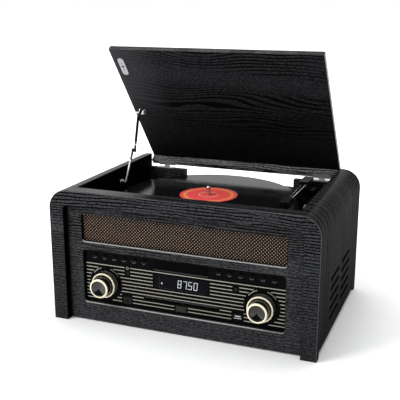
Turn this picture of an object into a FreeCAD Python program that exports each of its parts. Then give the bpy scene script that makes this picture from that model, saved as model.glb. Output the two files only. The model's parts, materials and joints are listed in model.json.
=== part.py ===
"""Table-top record player in a wooden arch cabinet, with its lid standing open.

Millimetres, +X to the right, +Y to the back, +Z up. The origin is on the floor under the middle of the
whole player, from the knobs in front to the edge of the open lid and the record behind.
"""
import FreeCAD, Part
import math
import os
import re
import Sketcher

os.makedirs("parts", exist_ok=True)
doc = FreeCAD.newDocument("record_player")

SIZES = {
    # Arch cabinet
    "width": 440,
    "depth": 310,
    "height": 220,
    "wall": 25,
    "top_thick": 24,
    "outer_radius": 31,
    "inner_radius": 8,
    "edge_radius": 1.5,
    "foot_height": 9.5,
    "foot_front": 14,
    "foot_rear": 12,
    "well_margin": 37,
    "rail_depth": 25,
    "fit": 0.2,
    # Side vents
    "vent_length": 74,
    "vent_bar": 14,
    "vent_radius": 3.5,
    "vent_low": 35,
    "vent_pitch": 15.8,
    "vent_middle": 5,
    # Boards
    "baffle_recess": 10.8,
    "baffle_thick": 6,
    "baffle_bottom": 2,
    "window_radius": 2.3,
    "window_corner": 4.3,
    "rear_thick": 12,
    "cutout_gap": 2,
    "cutout_shift": 6.4,
    "cutout_lip": 11.5,
    "floor_thick": 8,
    "well_depth": 27.8,
    "deck_thick": 4,
    "cleat_gap": 0.5,
    # Front windows, grille and fascia
    "grille_margin": 51.5,
    "grille_drop": 39.5,
    "window_gap": 14.5,
    "panel_margin": 52.5,
    "panel_low": 32.5,
    "panel_height": 89,
    "panel_lap": 5,
    "grille_thick": 2.5,
    "fascia_thick": 3,
    "board_gap": 8,
    "board_thick": 1.6,
    "post_radius": 4,
    "post_gap": 1,
    "bay_gap": 2,
    # Display
    "lcd_width": 88.5,
    "lcd_height": 22,
    "lcd_gap": 6.7,
    "lcd_fit": 0.15,
    "lcd_rim": 4,
    # Buttons
    "button_radius": 4.1,
    "button_fit": 0.2,
    "button_edge": 18.05,
    "button_pitch": 17.45,
    "button_drop": 9.5,
    "button_proud": 2.6,
    "button_crown": 1,
    "button_flange": 1.2,
    "button_travel": 1.2,
    # Knobs
    "knob_inset": 36.7,
    "knob_rise": 34,
    "knob_gap": 0.5,
    "knob_base_radius": 21.5,
    "knob_base": 10.5,
    "knob_step": 5,
    "knob_neck": 15.3,
    "knob_ring": 2.4,
    "knob_dish": 1.8,
    "knob_bore_depth": 12,
    "shaft_radius": 3,
    "shaft_fit": 0.05,
    "pot_radius": 9,
    "pot_length": 10,
    "pot_wall": 1,
    # Sockets and disc slot
    "socket_gap": 20,
    "socket_rise": 11.5,
    "usb_width": 12.4,
    "usb_height": 5,
    "usb_shell": 1,
    "jack_width": 14.6,
    "jack_height": 11.4,
    "jack_drop": 1.6,
    "jack_radius": 1.8,
    "slot_length": 124,
    "slot_height": 5,
    "slot_rise": 20,
    "drive_side": 11,
    "drive_below": 22.5,
    "drive_above": 9.5,
    "drive_back": 12,
    "disc_depth": 124,
    "drive_foot_radius": 4,
    # Drivers behind the vents
    "driver_gap": 7.1,
    "driver_depth": 36,
    "driver_rim": 8,
    "driver_flange": 2.5,
    "driver_cap": 9,
    "magnet_radius": 25,
    # Amplifier and inlet
    "amp_x": -30,
    "amp_gap": 16,
    "amp_width": 120,
    "amp_depth": 64,
    "amp_post": 6,
    "amp_corner": 5,
    "sink_edge": 4,
    "sink_thick": 8,
    "sink_height": 26,
    "can_radius": 8,
    "can_height": 22,
    "inlet_margin": 80,
    "inlet_z": 45,
    "inlet_radius": 5.9,
    "inlet_bore": 3,
    "inlet_nut": 3,
    # Platter and record
    "spindle_x": -15.5,
    "spindle_radius": 3.55,
    "spindle_rise": 16,
    "spindle_tip": 2.5,
    "spindle_fit": 0.05,
    "platter_radius": 98.5,
    "platter_height": 11.4,
    "platter_gap": 3,
    "platter_web": 4,
    "platter_rim": 6,
    "platter_edge": 0.7,
    "hub_drop": 1,
    "ring_inset": 25,
    "ring_lift": 0.5,
    "drive_ring_wall": 3.5,
    "mat_thick": 2,
    "mat_inset": 2,
    "record_margin": 32.2,
    "record_gap": 2.2,
    "record_overhang": 18.8,
    "record_thick": 1.6,
    "record_bevel": 1.2,
    "record_rim": 4,
    "record_hole": 3.62,
    "label_radius": 50,
    "label_rise": 0.2,
    "label_step": 1,
    "bush_radius": 8,
    "bush_length": 22,
    "bush_step": 2,
    "bush_flange": 4,
    "bush_proud": 0.5,
    # Motor and belt
    "motor_inset": 14.5,
    "motor_angle": 150,
    "motor_radius": 17,
    "motor_edge": 1.5,
    "motor_length": 24,
    "pulley_radius": 4.5,
    "pulley_shaft": 1.5,
    "pulley_flange": 0.8,
    "belt_gap": 0.3,
    "belt_thick": 1,
    "belt_height": 4.5,
    "belt_clear": 1,
    # Tonearm
    "arm_inset": 49.5,
    "arm_back": 21,
    "arm_rise": 12,
    "arm_tail": 14,
    "arm_reach": 118,
    "arm_rear_width": 9.6,
    "arm_front_width": 6,
    "arm_rear_height": 8.8,
    "arm_edge": 1.6,
    "pedestal_width": 28,
    "pedestal_depth": 27,
    "pedestal_height": 19.5,
    "pedestal_corner": 4,
    "yoke_width": 16,
    "yoke_ahead": 32,
    "yoke_behind": 10,
    "yoke_slot": 10.8,
    "yoke_clear": 1.8,
    "yoke_floor": 3.6,
    "yoke_rise": 8.5,
    "yoke_gap": 0.4,
    "yoke_corner": 2,
    "pivot_radius": 5,
    "pivot_drop": 0.6,
    "trunnion_radius": 1.5,
    "trunnion_inset": 0.5,
    "running_fit": 0.05,
    "shell_angle": 8,
    "shell_neck": 8,
    "shell_length": 36,
    "shell_width": 14,
    "shell_thick": 6.5,
    "shell_corner": 3,
    "lift_reach": 6.5,
    "lift_back": 9,
    "lift_slope": 2,
    "lift_front": 3.5,
    "stylus_gap": 0.4,
    "stylus_radius": 0.7,
    "stylus_length": 1.6,
    "stylus_back": 4,
    "cartridge_width": 11,
    "cartridge_start": 11,
    "cartridge_end": 2,
    "rest_ahead": 43,
    "rest_depth": 7,
    "rest_lip": 3,
    "rest_gap": 0.3,
    "rest_wall": 4,
    # Levers on the deck
    "lever_inset": 35,
    "lever_ahead": 60,
    "lever_length": 22,
    "switch_inset": 30,
    "switch_ahead": 112,
    "switch_length": 17,
    "lever_hub": 6,
    "lever_hub_height": 4,
    "lever_shaft": 3,
    "lever_tail": 4,
    "lever_gap": 0.3,
    "handle_lift": 1.2,
    "handle_thick": 5,
    # Lid and hinges
    "lid_open": 51,
    "lid_gap": 1.5,
    "lid_thick": 9,
    "batten_front": 9.6,
    "batten_thick": 9.6,
    "hinge_inset": 32,
    "hinge_length": 33,
    "hinge_setback": 0.5,
    "knuckle_radius": 3,
    "leaf_thick": 1,
    "leaf_depth": 12,
    "leaf_gap": 0.15,
    "hinge_pin": 1.25,
    "knuckle_gap": 0.3,
    "plate_length": 38,
    "plate_width": 11,
    "plate_thick": 1.2,
    "plate_side": 14.5,
    "plate_front": 38,
    "catch_length": 12,
    "catch_reach": 12,
    "catch_height": 6,
    "catch_gap": 0.5,
    "catch_round": 2,
    # Folding stay
    "stay_foot_reach": 127.9,
    "stay_foot_drop": 2.6,
    "stay_lid_reach": 138.1,
    "stay_lid_drop": 4.5,
    "stay_slack": 1.0079,
    "stay_share": 0.466,
    "stay_bar": 1.9,
    "stay_eye": 3.5,
    "stay_thick": 2.5,
    "stay_pin": 2,
    "stay_plate": 1.6,
    "stay_stand_off": 5,
    "stay_layer_gap": 1.7,
    "rivet_gap": 0.4,
    "stay_head": 1,
}

# Places that several pieces share, as formulas of the sizes
INSIDE = "(width/2 - wall - fit)"
WELL_SIDE = "(width/2 - well_margin)"
UNDER_TOP = "(height - top_thick - fit)"
BAFFLE_BACK = "(baffle_recess + baffle_thick - depth/2)"
FASCIA_BACK = "(baffle_recess + baffle_thick + fascia_thick - depth/2)"
BOARD_FACE = f"({FASCIA_BACK} + board_gap)"
REAR_FACE = "(depth/2 - rear_thick)"
FLOOR_TOP = "(foot_height + floor_thick)"
DECK_UNDER = "(deck_top - deck_thick)"
RECORD_UNDER = "(platter_top + mat_thick)"
RECORD_TOP = "(platter_top + mat_thick + record_thick)"
HINGE_Y = "(depth/2 + hinge_setback + knuckle_radius)"
HINGE_Z = f"({UNDER_TOP} + leaf_thick + leaf_gap)"
LID_UNDER = f"(height - lid_thick - {HINGE_Z})"
LID_TOP = f"(height - {HINGE_Z})"
LID_REAR = "(-hinge_setback - knuckle_radius)"
LID_FRONT = f"(rail_depth + lid_gap - depth/2 - {HINGE_Y})"
LID_SIDE = f"({WELL_SIDE} - lid_gap)"
FRONT_REACH = "(depth/2 - baffle_recess - baffle_thick + knob_gap + knob_base + knob_neck)"
LID_REACH = f"({HINGE_Y} + {LID_REAR}*cos(lid_open) + {LID_TOP}*sin(lid_open))"
MIDDLE = f"(({FRONT_REACH} - max({LID_REACH}; spindle_y + record_radius))/2)"

# Sizes that follow from the others
TIED = {
    # Side vents and their drivers
    "vent_columns_pitch": "vent_length + vent_bar",
    "driver_z": "vent_low + 2*vent_pitch",
    "driver_radius": f"driver_z - {FLOOR_TOP} - driver_gap",
    # Front windows and what stands in them
    "grille_width": "width - 2*grille_margin",
    "grille_low": "panel_low + panel_height + window_gap",
    "grille_height": "height - grille_drop - grille_low",
    "panel_width": "width - 2*panel_margin",
    "button_first": "panel_width/2 - button_edge - 5*button_pitch",
    "button_height": "panel_low + panel_height - button_drop",
    "knob_x": "panel_width/2 - knob_inset",
    "knob_z": "panel_low + knob_rise",
    "knob_neck_radius": "knob_base_radius - knob_step",
    "slot_z": "panel_low + slot_rise",
    "drive_low": "slot_z - drive_below",
    "drive_high": "slot_z + drive_above",
    "drive_width": "slot_length + 2*drive_side",
    "drive_depth": "disc_depth + drive_back",
    "lcd_low": "drive_high + lcd_rim + lcd_gap",
    "socket_x": "drive_width/2 + socket_gap",
    "socket_z": "panel_low + socket_rise",
    "jack_z": "socket_z - jack_drop",
    # Amplifier and inlet
    "amp_y": f"{REAR_FACE} - amp_gap - amp_depth/2",
    "inlet_x": "width/2 - inlet_margin",
    # Platter and record, which has to fit between the well's sides and between its rail and the back
    "deck_top": f"{UNDER_TOP} - well_depth",
    "cutout_low": "deck_top + cutout_lip",
    "record_room": "depth - rail_depth - record_gap + record_overhang",
    "record_radius": f"min({WELL_SIDE} - record_margin; record_room/2)",
    "spindle_y": "rail_depth + record_gap + record_radius - depth/2",
    "platter_bottom": "deck_top + platter_gap",
    "platter_top": "platter_bottom + platter_height",
    "spindle_top": f"{RECORD_TOP} + spindle_rise",
    "drive_ring_radius": "platter_radius - ring_inset",
    "motor_dx": "(platter_radius - motor_inset)*cos(motor_angle)",
    "motor_dy": "(platter_radius - motor_inset)*sin(motor_angle)",
    # Tonearm and levers
    "arm_x": f"{WELL_SIDE} - arm_inset",
    "arm_y": f"{REAR_FACE} - arm_back",
    "arm_z": f"{RECORD_TOP} + arm_rise",
    "yoke_top": "arm_z + yoke_rise",
    "rest_y": "arm_y - rest_ahead",
    "lever_x": f"{WELL_SIDE} - lever_inset",
    "lever_y": "arm_y - lever_ahead",
    "switch_x": f"{WELL_SIDE} - switch_inset",
    "switch_y": "arm_y - switch_ahead",
    # Hinges and the folding stay, whose bars together are a little longer than their span
    "hinge_x": f"{WELL_SIDE} - hinge_inset",
    "stay_foot_y": f"{HINGE_Y} - stay_foot_reach",
    "stay_foot_z": f"{UNDER_TOP} - stay_foot_drop",
    "stay_head_in": f"{LID_UNDER} - stay_lid_drop",
    "stay_head_y": f"{HINGE_Y} - stay_lid_reach*cos(lid_open) + stay_head_in*sin(lid_open)",
    "stay_head_z": f"{HINGE_Z} + stay_lid_reach*sin(lid_open) + stay_head_in*cos(lid_open)",
    "stay_span": "sqrt((stay_head_y - stay_foot_y)^2 + (stay_head_z - stay_foot_z)^2)",
    "stay_lower": "stay_span*stay_slack*stay_share",
    "stay_upper": "stay_span*stay_slack*(1 - stay_share)",
}

sheet = doc.addObject("Spreadsheet::Sheet", "dims")
cells = {**SIZES, **{alias: f"={text}" for alias, text in TIED.items()}}
for row, (alias, content) in enumerate(cells.items(), start=1):
    sheet.set(f"A{row}", alias)
    sheet.set(f"B{row}", str(content))
    sheet.setAlias(f"B{row}", alias)
doc.recompute()

VIEWS = {
    "top": FreeCAD.Rotation(),
    "front": FreeCAD.Rotation(FreeCAD.Vector(1, 0, 0), 90),
    "side": FreeCAD.Rotation(FreeCAD.Vector(1, 1, 1), 120),
}
VIEWS["far_side"] = FreeCAD.Rotation(FreeCAD.Vector(0, 0, 1), 180).multiply(VIEWS["side"])
NAME = re.compile(r"[a-z][a-z_0-9]*")
nodes = []


def formula(text):
    """Write every size in a formula as a reference to its cell."""
    return NAME.sub(lambda m: f"dims.{m.group()}" if m.group() in cells else m.group(), str(text))


def number(text):
    """The value that a formula of sizes has now."""
    return float(sheet.evalExpression(formula(text)))


def bind(thing, name, text):
    thing.setExpression(name, formula(text))


def place(thing, x, y, z):
    """Tie a piece's place in the cabinet to the sizes; y is counted from the cabinet's middle."""
    bind(thing, "Placement.Base.x", x)
    bind(thing, "Placement.Base.y", f"({y}) + {MIDDLE}")
    bind(thing, "Placement.Base.z", z)


def new_body(label, view, x=0, y=0, z=0, node=True):
    """Start a piece, drawn in the view that its sketches are seen from."""
    body = doc.addObject("PartDesign::Body", label)
    body.Label = label
    body.Placement = FreeCAD.Placement(FreeCAD.Vector(), VIEWS[view])
    place(body, x, y, z)
    if node:
        nodes.append(body)
    return body


def lid_body(label, view="top"):
    """Start a piece of the open lid, drawn as on the closed lid and counted from the hinge's axis."""
    body = new_body(label, view, 0, HINGE_Y, HINGE_Z)
    opened = FreeCAD.Rotation(FreeCAD.Vector(-1, 0, 0), number("lid_open"))
    body.Placement.Rotation = opened.multiply(VIEWS[view])
    return body


def draw(body, level=0, plane="XY_Plane"):
    """A new sketch on one of the body's own planes, raised by a level along the plane's normal."""
    sketch = body.newObject("Sketcher::SketchObject", f"{body.Label}_sketch")
    support = next(item for item in body.Origin.OriginFeatures if item.Role == plane)
    sketch.AttachmentSupport = [(support, "")]
    sketch.MapMode = "FlatFace"
    bind(sketch, "AttachmentOffset.Base.z", level)
    return sketch


def hold(sketch, curve, end, x, y):
    """Hold a point of a curve at x, y from the sketch's origin."""
    for kind, text in (("DistanceX", x), ("DistanceY", y)):
        rule = Sketcher.Constraint(kind, -1, 1, curve, end, number(text))
        index = sketch.addConstraint(rule)
        bind(sketch, f"Constraints[{index}]", text)


def polygon(sketch, corners):
    """A closed outline through corners that are pairs of formulas."""
    points = [FreeCAD.Vector(number(x), number(y), 0) for x, y in corners]
    ahead = points[1:] + points[:1]
    first = sketch.GeometryCount
    for start, end in zip(points, ahead):
        sketch.addGeometry(Part.LineSegment(start, end))
    for index in range(len(points)):
        following = first + (index + 1) % len(points)
        sketch.addConstraint(Sketcher.Constraint("Coincident", first + index, 2, following, 1))
    for index, (x, y) in enumerate(corners):
        hold(sketch, first + index, 1, x, y)


def rectangle(sketch, left, low, right, high):
    polygon(sketch, [(left, low), (right, low), (right, high), (left, high)])


def circle(sketch, x, y, radius):
    centre = FreeCAD.Vector(number(x), number(y), 0)
    curve = sketch.addGeometry(Part.Circle(centre, FreeCAD.Vector(0, 0, 1), number(radius)))
    hold(sketch, curve, 3, x, y)
    index = sketch.addConstraint(Sketcher.Constraint("Radius", curve, number(radius)))
    bind(sketch, f"Constraints[{index}]", radius)


def slot(sketch, start, end, radius):
    """A slot with round ends about two centres, which lie on one level or one above the other."""
    (x0, y0), (x1, y1) = ([number(text) for text in point] for point in (start, end))
    r = number(radius)
    lean = math.atan2(y1 - y0, x1 - x0)
    normal = FreeCAD.Vector(0, 0, 1)
    side = FreeCAD.Vector(-math.sin(lean), math.cos(lean), 0) * r
    tail, head = FreeCAD.Vector(x0, y0, 0), FreeCAD.Vector(x1, y1, 0)
    quarter = math.pi / 2
    first = sketch.GeometryCount
    sketch.addGeometry(Part.LineSegment(tail - side, head - side))
    sketch.addGeometry(Part.ArcOfCircle(Part.Circle(head, normal, r), lean - quarter, lean + quarter))
    sketch.addGeometry(Part.LineSegment(head + side, tail + side))
    sketch.addGeometry(Part.ArcOfCircle(Part.Circle(tail, normal, r), lean + quarter, lean + 3 * quarter))
    for index in range(4):
        following = first + (index + 1) % 4
        sketch.addConstraint(Sketcher.Constraint("Tangent", first + index, 2, following, 1))
    hold(sketch, first + 1, 3, *end)
    hold(sketch, first + 3, 3, *start)
    index = sketch.addConstraint(Sketcher.Constraint("Radius", first + 1, r))
    bind(sketch, f"Constraints[{index}]", radius)


def pad(body, sketch, length, backwards=False, symmetric=False):
    feature = body.newObject("PartDesign::Pad", f"{body.Label}_pad")
    feature.Profile = sketch
    feature.Reversed = backwards
    feature.SideType = "Symmetric" if symmetric else "One side"
    bind(feature, "Length", length)
    return feature


def pocket(body, sketch, length, backwards=False, symmetric=False):
    """Cut a sketch out of a body, and make sure that something was cut."""
    doc.recompute()
    before = body.Shape.Volume
    feature = body.newObject("PartDesign::Pocket", f"{body.Label}_pocket")
    feature.Profile = sketch
    feature.Reversed = backwards
    feature.SideType = "Symmetric" if symmetric else "One side"
    bind(feature, "Length", length)
    doc.recompute()
    if not body.Shape.Volume < before:
        raise RuntimeError(f"a pocket of {body.Label} cuts nothing")


def revolve(body, corners):
    """Turn an outline of radius and height pairs about the body's own Z axis."""
    sketch = draw(body, plane="XZ_Plane")
    polygon(sketch, corners)
    feature = body.newObject("PartDesign::Revolution", f"{body.Label}_turn")
    feature.Profile = sketch
    feature.ReferenceAxis = (sketch, ["V_Axis"])
    feature.Angle = 360


def round_edges(body, radius, chosen):
    """Round the edges of a body that a test of their box picks out."""
    doc.recompute()
    base = body.Tip
    edges = enumerate(base.Shape.Edges, start=1)
    names = [f"Edge{index}" for index, edge in edges if chosen(edge.BoundBox)]
    feature = body.newObject("PartDesign::Fillet", f"{body.Label}_fillet")
    feature.Base = (base, names)
    bind(feature, "Radius", radius)
    doc.recompute()


def near(value, text):
    return abs(value - number(text)) < 0.01


def runs_along_z(box):
    return near(box.XLength, 0) and near(box.YLength, 0)


def group(label, pieces):
    """One node of separate identical solids."""
    compound = doc.addObject("Part::Compound", label)
    compound.Label = label
    compound.Links = pieces
    nodes.append(compound)


def cabinet_arch():
    """The bent top and legs: a rounded arch along Y, with the well, the vents and the foot relief."""
    body = new_body("cabinet_arch", "front", 0, "depth/2")
    sketch = draw(body)
    inner = "(width/2 - wall)"
    under = "(height - top_thick)"
    polygon(sketch, [
        ("-width/2", 0), ("-width/2", "height"), ("width/2", "height"), ("width/2", 0),
        (inner, 0), (inner, under), (f"-{inner}", under), (f"-{inner}", 0)])
    pad(body, sketch, "depth")
    round_edges(body, "outer_radius", lambda b: runs_along_z(b) and near(b.YMin, "height"))
    round_edges(body, "inner_radius", lambda b: runs_along_z(b) and near(b.YMin, under))
    floor_edge = 0.01
    round_edges(body, "edge_radius", lambda b: near(b.ZMin, "depth") and b.YMax > floor_edge)
    well = draw(body, "-height", "XZ_Plane")
    rectangle(well, f"-{WELL_SIDE}", "-rail_depth", WELL_SIDE, "depth - rail_depth")
    pocket(body, well, "top_thick*2", symmetric=True)
    vents = draw(body, 0, "YZ_Plane")
    for column in (-1, 1):
        centre = f"(depth/2 - vent_middle + {column}*vent_columns_pitch/2)"
        reach = "(vent_length/2 - vent_radius)"
        for level in range(5):
            height = f"vent_low + {level}*vent_pitch"
            slot(vents, (height, f"{centre} - {reach}"), (height, f"{centre} + {reach}"), "vent_radius")
    pocket(body, vents, "width*2", symmetric=True)
    relief = draw(body, 0, "YZ_Plane")
    rectangle(relief, "-foot_height", "foot_rear", "foot_height", "depth - foot_front")
    pocket(body, relief, "width*2", symmetric=True)


def boards():
    """The baffle with its two windows, the back with its cut-out, the floor and the well's side boards."""
    baffle = new_body("front_baffle", "front", 0, BAFFLE_BACK)
    sketch = draw(baffle)
    rectangle(sketch, f"-{INSIDE}", "baffle_bottom", INSIDE, UNDER_TOP)
    rectangle(sketch, "-grille_width/2", "grille_low", "grille_width/2", "grille_low + grille_height")
    rectangle(sketch, "-panel_width/2", "panel_low", "panel_width/2", "panel_low + panel_height")
    pad(baffle, sketch, "baffle_thick")
    round_corners(baffle)
    edge = number("max(grille_width; panel_width)/2 + window_radius")
    corner = "min(window_corner; grille_height/3)"
    round_edges(baffle, corner, lambda b: runs_along_z(b) and abs(b.XMin) < edge)
    round_edges(baffle, "window_radius", lambda b: near(b.ZMin, "baffle_thick") and abs(b.XMin) < edge
                and abs(b.XMax) < edge)

    rear = new_body("rear_panel", "front", 0, "depth/2")
    sketch = draw(rear)
    chord = f"sqrt(max(0; record_radius^2 - ({REAR_FACE} - spindle_y)^2))"
    half = f"({chord} + abs(spindle_x) + cutout_gap)"
    polygon(sketch, [
        (f"-{INSIDE}", "baffle_bottom"), (INSIDE, "baffle_bottom"), (INSIDE, UNDER_TOP),
        (f"{half} - cutout_shift", UNDER_TOP), (f"{half} - cutout_shift", "cutout_low"),
        (f"-{half}", "cutout_low"), (f"-{half}", UNDER_TOP), (f"-{INSIDE}", UNDER_TOP)])
    circle(sketch, "inlet_x", "inlet_z", "inlet_radius + fit")
    pad(rear, sketch, "rear_thick")
    round_corners(rear)

    floor = new_body("bottom_panel", "top", 0, 0, "foot_height")
    sketch = draw(floor)
    rectangle(sketch, f"-{INSIDE}", f"{BAFFLE_BACK} + fit", INSIDE, f"{REAR_FACE} - fit")
    pad(floor, sketch, "floor_thick")

    cleats = []
    for side, name in ((-1, "left"), (1, "right")):
        cleat = new_body(f"well_board_{name}", "front", 0, f"{REAR_FACE} - fit", node=False)
        sketch = draw(cleat)
        rectangle(sketch, f"{side}*{INSIDE}", "deck_top", f"{side}*{WELL_SIDE}", UNDER_TOP)
        pad(cleat, sketch, f"{REAR_FACE} - fit - ({FASCIA_BACK} + cleat_gap)")
        round_corners(cleat)
        cleats.append(cleat)
    group("side_cleats", cleats)


def round_corners(board):
    """Round a board's upper outer corners to follow the inside of the arch."""
    round_edges(board, "inner_radius", lambda b: runs_along_z(b) and near(b.YMin, UNDER_TOP)
                and near(abs(b.XMin), INSIDE))


def front_panels():
    """The speaker grille and the control fascia behind the baffle, with the display and the board."""
    grille = new_body("speaker_grille", "front", 0, f"{BAFFLE_BACK} + grille_thick")
    sketch = draw(grille)
    rectangle(sketch, "-grille_width/2 - panel_lap", "grille_low - panel_lap",
              "grille_width/2 + panel_lap", "grille_low + grille_height + panel_lap")
    pad(grille, sketch, "grille_thick")

    fascia = new_body("control_fascia", "front", 0, FASCIA_BACK)
    sketch = draw(fascia)
    rectangle(sketch, "-panel_width/2 - panel_lap", "panel_low - panel_lap",
              "panel_width/2 + panel_lap", "panel_low + panel_height + panel_lap")
    rectangle(sketch, "-lcd_width/2", "lcd_low", "lcd_width/2", "lcd_low + lcd_height")
    rectangle(sketch, "-slot_length/2", "slot_z - slot_height/2", "slot_length/2", "slot_z + slot_height/2")
    across = "(usb_width/2 + usb_shell + fit)"
    upward = "(usb_height/2 + usb_shell + fit)"
    rectangle(sketch, f"socket_x - {across}", f"socket_z - {upward}",
              f"socket_x + {across}", f"socket_z + {upward}")
    rectangle(sketch, "-socket_x - jack_width/2 - fit", "jack_z - jack_height/2 - fit",
              "-socket_x + jack_width/2 + fit", "jack_z + jack_height/2 + fit")
    for side in (-1, 1):
        circle(sketch, f"{side}*knob_x", "knob_z", "shaft_radius + 2*fit")
        for place_in_row in range(6):
            circle(sketch, f"{side}*(button_first + {place_in_row}*button_pitch)", "button_height",
                   "button_radius + button_fit")
    pad(fascia, sketch, "fascia_thick")
    posts = draw(fascia)
    for x, z in board_posts():
        circle(posts, x, z, "post_radius")
    pad(fascia, posts, "board_gap", backwards=True)

    window = new_body("lcd_window", "front", 0, FASCIA_BACK)
    sketch = draw(window)
    rectangle(sketch, "-lcd_width/2 + lcd_fit", "lcd_low + lcd_fit",
              "lcd_width/2 - lcd_fit", "lcd_low + lcd_height - lcd_fit")
    pad(window, sketch, "fascia_thick")

    module = new_body("lcd_module", "front", 0, BOARD_FACE)
    sketch = draw(module)
    rectangle(sketch, "-lcd_width/2 - lcd_rim", "lcd_low - lcd_rim",
              "lcd_width/2 + lcd_rim", "lcd_low + lcd_height + lcd_rim")
    pad(module, sketch, "board_gap - fit")

    board = new_body("control_board", "front", 0, f"{BOARD_FACE} + board_thick")
    sketch = draw(board)
    edge = "(panel_width/2)"
    bay = "(drive_width/2 + bay_gap)"
    bay_top = "(drive_high + bay_gap)"
    low = "panel_low"
    high = "(panel_low + panel_height)"
    polygon(sketch, [
        (f"-{edge}", low), (f"-{bay}", low), (f"-{bay}", bay_top), (bay, bay_top), (bay, low), (edge, low),
        (edge, high), (f"-{edge}", high)])
    for side in (-1, 1):
        circle(sketch, f"{side}*knob_x", "knob_z", "shaft_radius + shaft_fit")
    pad(board, sketch, "board_thick")
    pots = draw(board)
    for side in (-1, 1):
        circle(pots, f"{side}*knob_x", "knob_z", "pot_radius")
        circle(pots, f"{side}*knob_x", "knob_z", "shaft_radius + shaft_fit")
    pad(board, pots, "pot_length", backwards=True)


def board_posts():
    """Where the fascia's posts carry the board: two at the top and one low on each side."""
    inset = "(post_radius + post_gap)"
    high = f"(panel_low + panel_height - {inset})"
    low = f"(panel_low + {inset})"
    outer = f"(panel_width/2 - {inset})"
    inner = f"(button_first - button_radius - button_flange - {inset})"
    places = ((outer, high), (inner, high), (outer, low))
    return [(f"{side}*{x}", z) for side in (-1, 1) for x, z in places]


def sockets():
    """The USB shell, the jack and the mains inlet."""
    length = "fascia_thick + board_gap"
    usb = new_body("usb_socket", "front", "socket_x", BOARD_FACE, "socket_z")
    sketch = draw(usb)
    rectangle(sketch, "-usb_width/2 - usb_shell", "-usb_height/2 - usb_shell",
              "usb_width/2 + usb_shell", "usb_height/2 + usb_shell")
    pad(usb, sketch, length)
    mouth = draw(usb, length)
    rectangle(mouth, "-usb_width/2", "-usb_height/2", "usb_width/2", "usb_height/2")
    pocket(usb, mouth, f"{length} - usb_shell")

    jack = new_body("aux_socket", "front", "-socket_x", BOARD_FACE, "jack_z")
    sketch = draw(jack)
    rectangle(sketch, "-jack_width/2", "-jack_height/2", "jack_width/2", "jack_height/2")
    pad(jack, sketch, length)
    mouth = draw(jack, length)
    circle(mouth, 0, 0, "jack_radius")
    pocket(jack, mouth, "board_gap")

    inlet = new_body("power_inlet", "front", "inlet_x", "depth/2", "inlet_z")
    seat = "(rear_thick + fit)"
    top = f"({seat} + inlet_nut)"
    end = f"({top} + inlet_nut)"
    nut = "inlet_radius*1.5"
    revolve(inlet, [
        ("inlet_bore", 0), ("inlet_radius", 0), ("inlet_radius", seat), (nut, seat), (nut, top),
        ("inlet_radius", top), ("inlet_radius", end), (0, end), (0, seat), ("inlet_bore", seat)])


def controls():
    """The twelve buttons, and the two knobs on their shafts."""
    back = "(-fascia_thick - fit)"
    flange = "(button_radius + button_flange)"
    stem = "(-fascia_thick - board_gap + button_travel + 2*fit)"
    for side, name in ((-1, "left"), (1, "right")):
        for index in range(6):
            x = f"{side}*(button_first + {index}*button_pitch)"
            button = new_body(f"{name}_button_{index + 1}", "front", x, BAFFLE_BACK, "button_height")
            revolve(button, [
                (0, stem), ("button_radius/2", stem), ("button_radius/2", f"{back} - button_flange"),
                (flange, f"{back} - button_flange"), (flange, back), ("button_radius", back),
                ("button_radius", "button_proud - button_crown"),
                ("button_radius*0.85", "button_proud - button_crown*0.35"),
                ("button_radius*0.5", "button_proud"), (0, "button_proud")])
    base = "(knob_gap + knob_base)"
    front = "(knob_gap + knob_base + knob_neck)"
    bore = "(knob_gap + knob_bore_depth)"
    neck = "(knob_neck_radius - knob_ring)"
    for side, name in ((-1, "volume"), (1, "tuning")):
        x = f"{side}*knob_x"
        knob = new_body(f"{name}_knob", "front", x, BAFFLE_BACK, "knob_z")
        revolve(knob, [
            (0, bore), ("shaft_radius + shaft_fit", bore), ("shaft_radius + shaft_fit", "knob_gap"),
            ("knob_base_radius", "knob_gap"), ("knob_base_radius", f"{base} - knob_ring"),
            ("knob_base_radius - knob_ring/2", f"{base} - knob_ring/3"),
            ("knob_base_radius - knob_ring", base), ("knob_neck_radius + knob_ring/2", base),
            ("knob_neck_radius", f"{base} + knob_ring"),
            ("knob_neck_radius - knob_ring/3", f"{front} - knob_ring/2"), (neck, front),
            (f"{neck} - knob_ring/2", front), (f"{neck} - knob_ring", f"{front} - knob_dish"),
            (0, f"{front} - knob_dish*4/3")])
        shaft = new_body(f"{name}_shaft", "front", x, BAFFLE_BACK, "knob_z")
        sketch = draw(shaft, f"{bore} - fit")
        circle(sketch, 0, 0, "shaft_radius")
        inside = "(fascia_thick + board_gap + board_thick + pot_length - pot_wall)"
        pad(shaft, sketch, f"{bore} - fit + {inside}", backwards=True)


def disc_drive():
    """The slot-loading disc drive on its four feet."""
    drive = new_body("cd_mechanism", "top", 0, f"{FASCIA_BACK} + cleat_gap", "drive_low")
    sketch = draw(drive)
    rectangle(sketch, "-drive_width/2", 0, "drive_width/2", "drive_depth")
    pad(drive, sketch, "drive_high - drive_low")
    mouth = draw(drive, 0, "XZ_Plane")
    level = "(slot_z - drive_low)"
    rectangle(mouth, "-slot_length/2", f"{level} - slot_height/2",
              "slot_length/2", f"{level} + slot_height/2")
    pocket(drive, mouth, "disc_depth")
    feet = draw(drive)
    inset = "(drive_foot_radius*2)"
    for side in (-1, 1):
        for y in (inset, f"drive_depth - {inset}"):
            circle(feet, f"{side}*(drive_width/2 - {inset})", y, "drive_foot_radius")
    pad(drive, feet, f"drive_low - {FLOOR_TOP}", backwards=True)


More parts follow.
